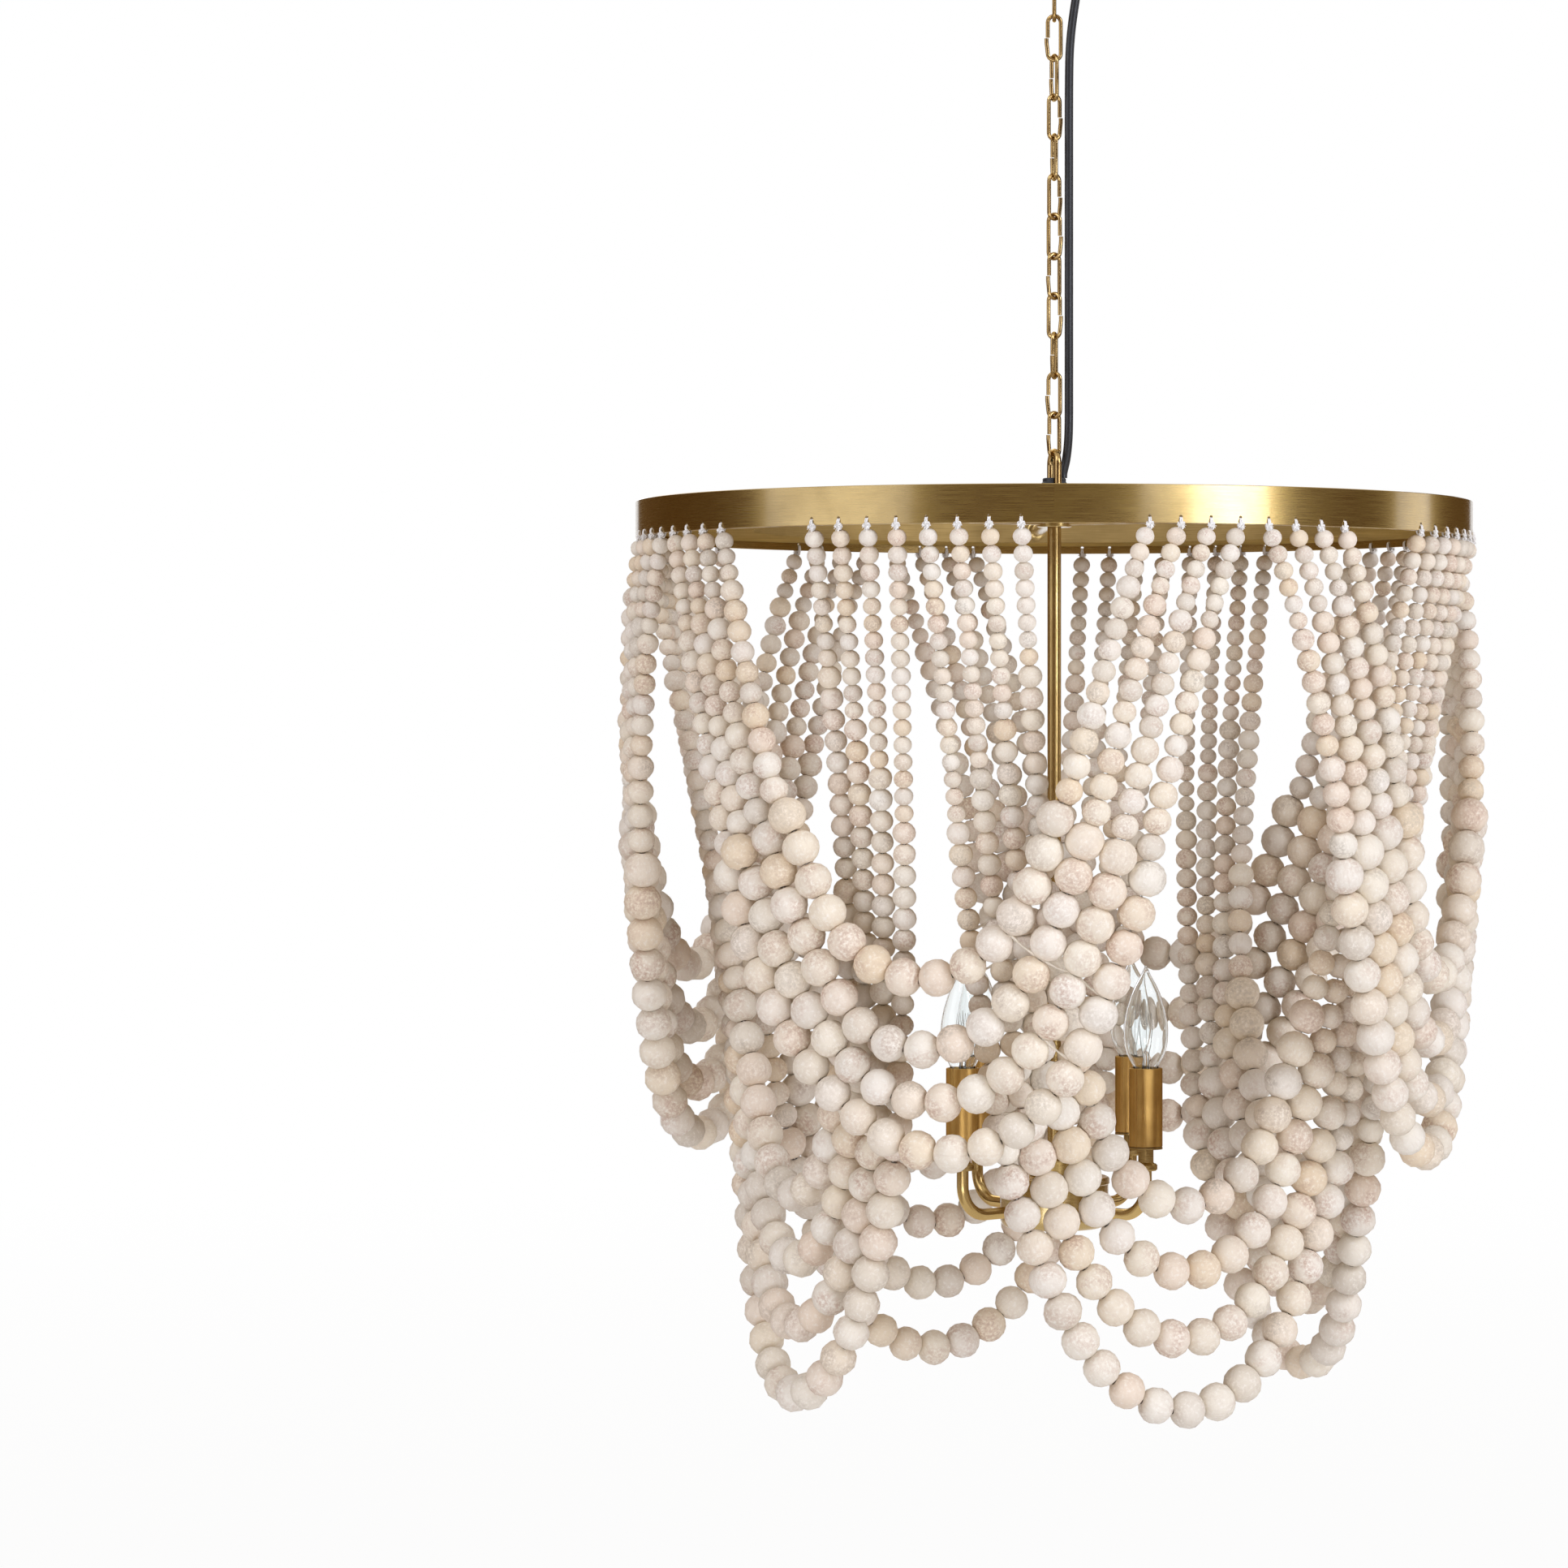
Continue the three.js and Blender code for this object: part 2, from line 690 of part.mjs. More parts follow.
// Drum of the light hub: an open cup with a round lower edge and a hole for each arm
function drumShape() {
  const outside = hubDiameter / 2;
  const inside = outside - hubWall;
  const screwHole = hubScrewDiameter / 2 + clearance;
  const corner = [];
  for (let i = 0; i <= arcSteps; i += 1) {
    const angle = ((Math.PI / 2) * i) / arcSteps;
    corner.push([
      outside - hubEdgeRadius + hubEdgeRadius * Math.sin(angle),
      drumBottom + hubEdgeRadius - hubEdgeRadius * Math.cos(angle),
    ]);
  }
  const outline = [
    [screwHole, drumBottom], ...corner, [outside, drumTop], [inside, drumTop],
    [inside, drumBottom + hubEdgeRadius], [outside - hubEdgeRadius, drumBottom + hubFloor],
    [screwHole, drumBottom + hubFloor],
  ];
  const holes = [];
  for (const azimuth of lampAzimuths) {
    const diameter = armDiameter + 2 * clearance;
    holes.push(radialCylinder(
      diameter, armInnerRadius, outside + overrun, armHeight, azimuth, roundSides,
    ));
  }
  return cut(lathe(outline, hubSides), ...holes);
}

function lidShape() {
  const bore = rodDiameter / 2 + clearance;
  const rim = hubDiameter / 2 + lidOverhang;
  const collar = lidCollarDiameter / 2;
  const outline = [
    [bore, hubTop - lidThickness], [rim, hubTop - lidThickness], [rim, hubTop],
    [collar, hubTop], [collar, hubTop + lidCollarHeight], [bore, hubTop + lidCollarHeight],
  ];
  return lathe(outline, hubSides);
}

function hubScrewShape() {
  const headTop = drumBottom - clearance;
  const headBottom = headTop - hubScrewHeadHeight;
  const [shank, head] = [hubScrewDiameter / 2, hubScrewHeadDiameter / 2];
  const outline = [
    [0, headBottom], [head, headBottom], [head, headTop], [shank, headTop],
    [shank, headTop + hubScrewLength], [0, headTop + hubScrewLength],
  ];
  return lathe(outline, tubeSides);
}

function addLightHub(parent) {
  addBrass(parent, 'light_hub', drumShape());
  addBrass(parent, 'light_hub_lid', lidShape());
  addBrass(parent, 'light_hub_screw', hubScrewShape());
}

const collarBottom = armHeight + armBendRadius + armRiser + clearance;
const collarTop = collarBottom + lampCollarHeight;
const seatTop = collarTop + spigotHeight + seatThickness;
const socketDiameter = bulbCapDiameter + 2 * (clearance + socketWall);
const sleeveDiameter = socketDiameter + 2 * (sleeveGap + sleeveWall);
const sleeveBottom = seatTop + clearance;
const sleeveTop = sleeveBottom + sleeveHeight;
const socketTop = seatTop + sleeveHeight - socketInset;
const wellBottom = socketTop - bulbCapLength;

// Arm: out of the hub along a radius, then bent up to the lamp
function armShape() {
  const centre = lampRadius - armBendRadius;
  const points = [around(0, armInnerRadius, armHeight)];
  for (let i = 0; i <= arcSteps; i += 1) {
    const angle = ((Math.PI / 2) * i) / arcSteps;
    points.push(around(
      0, centre + armBendRadius * Math.sin(angle), armHeight + armBendRadius * (1 - Math.cos(angle)),
    ));
  }
  points.push(around(0, lampRadius, collarBottom - clearance));
  return tube(points, points.map(() => armDiameter / 2), tubeSides);
}

function socketShape() {
  const [collar, spigot, seat] = [lampCollarDiameter / 2, spigotDiameter / 2, sleeveDiameter / 2];
  const body = socketDiameter / 2;
  const well = bulbCapDiameter / 2 + clearance;
  const seatBottom = seatTop - seatThickness;
  const outline = [
    [0, collarBottom], [collar, collarBottom], [collar, collarTop], [spigot, collarTop],
    [spigot, seatBottom], [seat, seatBottom], [seat, seatTop], [body, seatTop],
    [body, socketTop], [well, socketTop], [well, wellBottom], [0, wellBottom],
  ];
  return lathe(outline, roundSides);
}

function sleeveShape() {
  const outside = sleeveDiameter / 2;
  const inside = outside - sleeveWall;
  const outline = [
    [inside, sleeveBottom], [outside, sleeveBottom], [outside, sleeveTop], [inside, sleeveTop],
  ];
  return lathe(outline, roundSides);
}

// Flame of the bulb above its straight neck: shares of the height and of the half diameter
const flameShares = [
  [0.06, 0.68], [0.15, 0.88], [0.26, 0.98], [0.38, 1], [0.52, 0.92], [0.64, 0.77], [0.75, 0.6],
  [0.86, 0.34], [0.94, 0.14],
];

function bulbShape() {
  const bottom = wellBottom + clearance;
  const capTop = bottom + bulbCapLength;
  const top = bottom + bulbLength;
  const neck = socketDiameter / 2;
  const neckTop = sleeveTop + clearance;
  const flame = flameShares.map(([up, out]) => (
    [(out * bulbDiameter) / 2, neckTop + up * (top - neckTop)]));
  const outline = [
    [0, bottom], [bulbCapDiameter / 2, bottom], [bulbCapDiameter / 2, capTop],
    [neck, capTop + clearance], [neck, neckTop], ...flame, [0, top],
  ];
  return lathe(outline, roundSides);
}

function addLamps(parent) {
  lampAzimuths.forEach((azimuth, i) => {
    const lamp = new THREE.Group();
    lamp.rotation.z = radians(azimuth);
    parent.add(lamp);
    addBrass(lamp, `lamp_arm_${i + 1}`, armShape());
    const holder = new THREE.Group();
    holder.position.copy(around(0, lampRadius, 0));
    lamp.add(holder);
    addBrass(holder, `socket_${i + 1}`, socketShape());
    addBrass(holder, `candle_sleeve_${i + 1}`, sleeveShape());
    addGlass(holder, `bulb_${i + 1}`, bulbShape());
  });
}

const chandelier = new THREE.Group();
chandelier.name = 'beaded_chandelier';
addCeilingFixing(chandelier);
addChain(chandelier);
addLoopAndCord(chandelier);

const ring = new THREE.Group();
ring.position.z = ringBottom;
chandelier.add(ring);
addRing(ring);
addRod(ring);
addLightHub(ring);
addLamps(ring);
addStrands(ring);

export default chandelier;
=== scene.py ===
"""Dressed scene of a beaded chandelier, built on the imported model.

Lengths are in metres in the model's own frame: the origin is the middle of the ceiling strap's top
face, +Z is up and -Y points at the viewer. Each sub-assembly is a class that holds its sizes and
builds its own meshes, and each finish is a frozen dataclass that makes one material.
"""

import logging
import math
from collections.abc import Callable, Iterable, Sequence
from dataclasses import dataclass
from enum import Enum

import bpy
from mathutils import Matrix, Vector, kdtree


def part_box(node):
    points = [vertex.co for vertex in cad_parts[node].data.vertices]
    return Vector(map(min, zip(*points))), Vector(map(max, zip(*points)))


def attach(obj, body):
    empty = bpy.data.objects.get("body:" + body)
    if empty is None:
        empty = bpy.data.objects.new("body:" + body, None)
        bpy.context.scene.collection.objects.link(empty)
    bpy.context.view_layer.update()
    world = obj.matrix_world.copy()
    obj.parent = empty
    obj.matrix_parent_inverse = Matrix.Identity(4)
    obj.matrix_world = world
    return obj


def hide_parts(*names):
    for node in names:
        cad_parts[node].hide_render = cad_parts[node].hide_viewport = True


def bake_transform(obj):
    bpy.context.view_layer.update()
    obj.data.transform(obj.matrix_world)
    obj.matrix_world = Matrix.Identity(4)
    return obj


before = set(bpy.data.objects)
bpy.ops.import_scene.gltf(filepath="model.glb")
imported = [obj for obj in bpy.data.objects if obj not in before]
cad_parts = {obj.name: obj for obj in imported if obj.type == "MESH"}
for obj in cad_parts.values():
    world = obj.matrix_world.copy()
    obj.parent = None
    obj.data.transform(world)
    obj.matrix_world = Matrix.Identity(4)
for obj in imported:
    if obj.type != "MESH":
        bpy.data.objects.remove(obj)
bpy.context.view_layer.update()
LOG = logging.getLogger("chandelier")

ON_AXIS = 1e-6  # a lathe's corner this close to the axis is one point
STEEP = 0.7  # share of Z in a path's start above which its section is laid out from Y
SHARP = math.radians(38)
SHARP_AFTER_CUT = math.radians(30)
NEVER_SHARP = math.radians(180)
OVERCUT = 0.002  # how far a cutter runs past what it cuts
MILLIMETRE = 0.001
WHITE = (1, 1, 1, 1)

Point = Sequence[float]
Place = tuple[float, float, float]
Colour = tuple[float, float, float]
Pair = tuple[float, float]
Span = tuple[float, float, float, float]
Piece = bpy.types.Object
Socket = bpy.types.NodeSocket


class Body(str, Enum):
    """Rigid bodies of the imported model."""

    CEILING = "ceiling_fixing"
    TOP_LINK = "top_link"
    FIXTURE = "fixture"


class Level(Enum):
    """Whether a set of strands hangs outside, in high swags, or inside, in low ones."""

    OUTER = "outer"
    INNER = "inner"


# Places and lines


def around(azimuth: float, radius: float, height: float) -> Vector:
    """Returns the point at an azimuth in degrees, which counts from -Y towards +X."""
    angle = math.radians(azimuth)
    return Vector((radius * math.sin(angle), -radius * math.cos(angle), height))


def arc_points(
    centre: Point, radius: float, start: float, end: float, steps: int
) -> list[Pair]:
    """Returns the points of an arc in a plane, both ends included, with angles in degrees."""
    angles = [math.radians(start + (end - start) * i / steps) for i in range(steps + 1)]
    return [(centre[0] + radius * math.cos(a), centre[1] + radius * math.sin(a)) for a in angles]


def oval(width: float, length: float, steps: int) -> list[Vector]:
    """Centre line of an upright oval in the XZ plane with its lowest point at height 0.

    Args:
        width: width between centre lines.
        length: height between centre lines.
        steps: spans of each end arc.

    Returns:
        The closed line's points, from the right-hand side upwards.
    """
    radius = width / 2
    ends = arc_points((0, length - radius), radius, 0, 180, steps)
    ends += arc_points((0, radius), radius, 180, 360, steps)
    return [Vector((x, 0, z)) for x, z in ends]


def smooth_path(points: Sequence[Vector], steps: int) -> list[Vector]:
    """Runs a smooth curve through a list of points.

    Args:
        points: the points.
        steps: spans between two points.

    Returns:
        Closely spaced points of the curve.
    """
    result: list[Vector] = []
    last = len(points) - 1
    for i in range(last):
        before, start, end, after = (points[min(max(i + k, 0), last)] for k in (-1, 0, 1, 2))
        for j in range(steps):
            t = j / steps
            result.append(0.5 * (
                2 * start + (end - before) * t
                + (2 * before - 5 * start + 4 * end - after) * t**2
                + (3 * start - before - 3 * end + after) * t**3
            ))
    result.append(points[-1].copy())
    return result


# Mesh making


def add_object(name: str, data: bpy.types.ID) -> Piece:
    """Adds an object at the origin to the scene.

    Args:
        name: name of the object.
        data: its mesh, camera or light.

    Returns:
        The object.
    """
    added = bpy.data.objects.new(name, data)
    bpy.context.scene.collection.objects.link(added)
    return added


def mesh_object(
    name: str,
    vertices: Iterable[Point],
    faces: Iterable[Sequence[int]],
    uvs: Sequence[Sequence[Pair]] = (),
) -> Piece:
    """Makes a mesh object at the origin.

    Args:
        name: name of the object and its mesh.
        vertices: corners.
        faces: corner numbers of each face.
        uvs: places of each face's corners on the UV map "sweep", if it has one.

    Returns:
        The object, shaded smooth with sharp edges kept.
    """
    mesh = bpy.data.meshes.new(name)
    mesh.from_pydata([tuple(v) for v in vertices], [], [tuple(f) for f in faces])
    mesh.update()
    mesh.shade_smooth()
    mesh.set_sharp_from_angle(angle=SHARP)
    if uvs:
        layer = mesh.uv_layers.new(name="sweep")
        for face in mesh.polygons:
            for loop, place in zip(face.loop_indices, uvs[face.index]):
                layer.data[loop].uv = place
    return add_object(name, mesh)


def lathe(name: str, outline: Sequence[Point], centre: Point = (0, 0), sides: int = 64) -> Piece:
    """Turns a closed outline about a vertical axis.

    Args:
        name: name of the piece.
        outline: (radius, height) corners, counter-clockwise, outside going up.
        centre: x and y of the axis.
        sides: facets round the axis.

    Returns:
        The piece, with u round the axis and v along the outline, both in metres.
    """
    axis = Vector((centre[0], centre[1], 0))
    vertices: list[Vector] = []
    rings: list[list[int]] = []
    for radius, height in outline:
        if radius < ON_AXIS:
            rings.append([len(vertices)] * sides)
            vertices.append(axis + Vector((0, 0, height)))
            continue
        rings.append(list(range(len(vertices), len(vertices) + sides)))
        vertices += [around(360 * i / sides, radius, height) + axis for i in range(sides)]
    faces: list[list[int]] = []
    uvs: list[list[Pair]] = []
    run = 0.0
    for j, (start, end) in enumerate(zip(outline, [*outline[1:], outline[0]])):
        low, high = rings[j], rings[(j + 1) % len(rings)]
        widest, top = max(start[0], end[0]), run + math.dist(start, end)
        if widest < ON_AXIS:
            continue
        reach = widest * 2 * math.pi / sides
        for i in range(sides):
            k = (i + 1) % sides
            corners: dict[int, Pair] = {}
            for number, across, along in (
                (low[i], i, run), (low[k], i + 1, run), (high[k], i + 1, top), (high[i], i, top)
            ):
                corners.setdefault(number, (across * reach, along))
            faces.append(list(corners))
            uvs.append(list(corners.values()))
        run = top
    return mesh_object(name, vertices, faces, uvs)


def sweep(
    name: str,
    path: Sequence[Vector],
    radii: float | Sequence[float],
    sides: int = 16,
    closed: bool = False,
) -> Piece:
    """Sweeps a round section along a path without twist.

    Args:
        name: name of the piece.
        path: centre line.
        radii: the section's radius, one for the whole path or one for each of its points.
        sides: facets round the section.
        closed: whether the path returns to its start.

    Returns:
        The piece, with u along the path and v round the section, both in metres.
    """
    count = len(path)
    sections = [radii] * count if isinstance(radii, float) else radii
    normal = Vector((0, 0, 1))
    vertices: list[Vector] = []
    for i, point in enumerate(path):
        before = path[(i - 1) % count] if closed else path[max(i - 1, 0)]
        after = path[(i + 1) % count] if closed else path[min(i + 1, count - 1)]
        tangent = (after - before).normalized()
        if i == 0 and abs(tangent.dot(normal)) > STEEP:
            normal = Vector((0, 1, 0))
        normal = (normal - tangent * normal.dot(tangent)).normalized()
        side = tangent.cross(normal)
        for j in range(sides):
            angle = 2 * math.pi * j / sides
            spoke = math.cos(angle) * normal + math.sin(angle) * side
            vertices.append(point + sections[i] * spoke)
    faces: list[list[int]] = []
    uvs: list[list[Pair]] = []
    run = 0.0
    for i in range(count if closed else count - 1):
        far = (i + 1) % count
        end = run + (path[far] - path[i]).length
        arc = 2 * math.pi * sections[i] / sides
        for j in range(sides):
            k = (j + 1) % sides
            low, high = j * arc, (j + 1) * arc
            faces.append([i * sides + j, i * sides + k, far * sides + k, far * sides + j])
            uvs.append([(run, low), (run, high), (end, high), (end, low)])
        run = end
    if not closed:
        last = (count - 1) * sides
        faces += [[*range(sides - 1, -1, -1)], [*range(last, last + sides)]]
        uvs += [[(0.0, 0.0)] * sides, [(run, 0.0)] * sides]
    return mesh_object(name, vertices, faces, uvs)


def merge(name: str, parts: Sequence[Piece]) -> Piece:
    """Joins several objects into one piece.

    Args:
        name: name of the joined piece.
        parts: the objects, which are used up.

    Returns:
        The piece.
    """
    bpy.ops.object.select_all(action="DESELECT")
    for part in parts:
        part.select_set(True)
    bpy.context.view_layer.objects.active = parts[0]
    if len(parts) > 1:
        bpy.ops.object.join()
    parts[0].name = parts[0].data.name = name
    return parts[0]


def apply_modifier(piece: Piece, modifier: bpy.types.Modifier) -> bpy.types.Mesh:
    """Turns the result of a piece's only modifier into its plain mesh.

    Args:
        piece: the piece.
        modifier: its modifier, which is removed.

    Returns:
        The new mesh.
    """
    depsgraph = bpy.context.evaluated_depsgraph_get()
    mesh = bpy.data.meshes.new_from_object(piece.evaluated_get(depsgraph))
    piece.modifiers.remove(modifier)
    piece.data = mesh
    return mesh


def subtract(piece: Piece, cutters: Sequence[Piece]) -> Piece:
    """Cuts closed objects out of a piece.

    Args:
        piece: the object that is cut.
        cutters: the objects taken away, which are used up.

    Returns:
        The piece.
    """
    cutter = merge("cutter", cutters)
    modifier = piece.modifiers.new("cut", "BOOLEAN")
    modifier.operation = "DIFFERENCE"
    modifier.solver = "EXACT"
    modifier.object = cutter
    mesh = apply_modifier(piece, modifier)
    mesh.shade_smooth()
    mesh.set_sharp_from_angle(angle=SHARP_AFTER_CUT)
    bpy.data.objects.remove(cutter)
    return piece


# Node trees


class Nodes:
    """Adds linked nodes to a tree."""

    def __init__(self, tree: bpy.types.NodeTree) -> None:
        """Keeps the tree."""
        self.tree = tree

    def feed(self, socket: Socket, value: object) -> None:
        """Links a socket to another, or sets its value.

        Args:
            socket: the socket.
            value: a number, a colour, a name or another socket.
        """
        if isinstance(value, Socket):
            self.tree.links.new(value, socket)
        else:
            socket.default_value = value

    def fill(self, node: bpy.types.Node, *values: object, **sockets: object) -> bpy.types.Node:
        """Sets or links the inputs of a node.

        Args:
            node: the node.
            values: values or sockets for the first inputs, in their order.
            sockets: values or sockets by the input's name, with spaces written as underscores.

        Returns:
            The node.
        """
        for socket, value in zip(node.inputs, values):
            self.feed(socket, value)
        for name, value in sockets.items():
            self.feed(node.inputs[name.replace("_", " ")], value)
        return node

    def add(self, kind: str, *values: object, **sockets: object) -> bpy.types.Node:
        """Adds a node, and fills its inputs as fill does."""
        return self.fill(self.tree.nodes.new(kind), *values, **sockets)

    def group(self, tree: bpy.types.NodeTree, **sockets: object) -> bpy.types.NodeOutputs:
        """Adds a node group.

        Args:
            tree: the group's tree.
            sockets: values or sockets by the input's name.

        Returns:
            The group node's outputs.
        """
        node = self.add("ShaderNodeGroup")
        node.node_tree = tree
        return self.fill(node, **sockets).outputs

    def math(self, operation: str, *values: object) -> Socket:
        """Adds a math node and returns its output."""
        node = self.add("ShaderNodeMath", *values)
        node.operation = operation
        return node.outputs[0]

    def vector(self, operation: str, *values: object) -> Socket:
        """Adds a vector math node and returns its output."""
        node = self.add("ShaderNodeVectorMath", *values)
        node.operation = operation
        return node.outputs[0]

    def off_axis(self, place: Socket) -> Socket:
        """Measures how far a place is from the Z axis.

        Args:
            place: the place.

        Returns:
            The distance.
        """
        part = self.add("ShaderNodeSeparateXYZ", Vector=place).outputs
        squares = [self.math("MULTIPLY", part[name], part[name]) for name in "XY"]
        return self.math("SQRT", self.math("ADD", *squares))

    def mix(self, share: object, first: Point | Socket, second: Point | Socket) -> Socket:
        """Adds a mix of two colours.

        Args:
            share: share of the second colour.
            first: a colour or socket.
            second: another.

        Returns:
            The mixed colour.
        """
        node = self.add("ShaderNodeMix")
        node.data_type = "RGBA"
        for number, value in ((0, share), (6, first), (7, second)):
            solid = isinstance(value, tuple) and len(value) == 3
            self.feed(node.inputs[number], (*value, 1) if solid else value)
        return node.outputs[2]

    def spread(
        self, value: Socket, low: object, high: object, to_low: float = 0.0, to_high: float = 1.0
    ) -> Socket:
        """Maps a range of values to another and clamps the result.

        Args:
            value: the value.
            low: start of its range.
            high: end of its range.
            to_low: result at the start.
            to_high: result at the end.

        Returns:
            The result.
        """
        return self.add("ShaderNodeMapRange", value, low, high, to_low, to_high).outputs[0]

    def between(self, share: Socket, low: float, high: float) -> Socket:
        """Returns the value between two others at a share from 0 to 1."""
        return self.spread(share, 0.0, 1.0, low, high)

    def noise(
        self, place: Socket, scale: object, detail: float, roughness: float = 0.5
    ) -> Socket:
        """Adds a noise texture.

        Args:
            place: where it is read.
            scale: its scale.
            detail: its detail.
            roughness: how strong the detail is.

        Returns:
            Its value.
        """
        texture = self.add(
            "ShaderNodeTexNoise", Vector=place, Scale=scale, Detail=detail, Roughness=roughness
        )
        return texture.outputs["Fac"]

    def bump(self, height: Socket, strength: float, distance: float) -> Socket:
        """Adds a bump and returns the normal."""
        bump = self.add("ShaderNodeBump", Height=height, Strength=strength, Distance=distance)
        return bump.outputs["Normal"]


@dataclass(frozen=True)
class Effect:
    """Shader node group that more than one material uses.

    Its first input is Vector. It puts out only numbers that change over the surface.
    """

    name: str
    inputs: dict[str, float]
    outputs: tuple[str, ...]
    pattern: Callable[[Nodes, bpy.types.NodeOutputs], Sequence[Socket]]

    def build(self) -> bpy.types.NodeTree:
        """Makes the group, or finds it if it exists.

        Returns:
            The group.
        """
        tree = bpy.data.node_groups.get(self.name)
        if tree:
            return tree
        tree = bpy.data.node_groups.new(self.name, "ShaderNodeTree")
        new_socket, number = tree.interface.new_socket, "NodeSocketFloat"
        new_socket("Vector", in_out="INPUT", socket_type="NodeSocketVector")
        for label, value in self.inputs.items():
            new_socket(label, in_out="INPUT", socket_type=number).default_value = value
        for label in self.outputs:
            new_socket(label, in_out="OUTPUT", socket_type=number)
        nodes = Nodes(tree)
        sockets = self.pattern(nodes, nodes.add("NodeGroupInput").outputs)
        nodes.add("NodeGroupOutput", *sockets)
        return tree


def scratch_pattern(nodes: Nodes, given: bpy.types.NodeOutputs) -> tuple[Socket, Socket]:
    """Draws fine parallel scratches along u of a UV map.

    Args:
        nodes: helper on the group's tree.
        given: the group's inputs Vector, Fineness and Length.

    Returns:
        The scratches, crisp for colour and soft for height.
    """
    scale = nodes.add("ShaderNodeCombineXYZ", X=given["Length"], Y=given["Fineness"])
    stretched = nodes.vector("MULTIPLY", given["Vector"], scale.outputs[0])
    soft = nodes.noise(stretched, 1.0, 3.0, 0.6)
    return nodes.spread(soft, 0.35, 0.65), soft


def patch_pattern(nodes: Nodes, given: bpy.types.NodeOutputs) -> tuple[Socket]:
    """Draws soft cloudy patches.

    Args:
        nodes: helper on the group's tree.
        given: the group's inputs Vector, Scale and Contrast.

    Returns:
        The patches.
    """
    clouds = nodes.noise(given["Vector"], given["Scale"], 4.0)
    low = nodes.math("SUBTRACT", 0.5, given["Contrast"])
    high = nodes.math("ADD", 0.5, given["Contrast"])
    return (nodes.spread(clouds, low, high),)


SCRATCHES = Effect(
    "brushed_scratches", {"Fineness": 2600.0, "Length": 30.0}, ("Scratches", "Height"),
    scratch_pattern,
)
PATCHES = Effect("mottled_patches", {"Scale": 40.0, "Contrast": 0.2}, ("Patches",), patch_pattern)


# Copies of one shape, made by Geometry Nodes


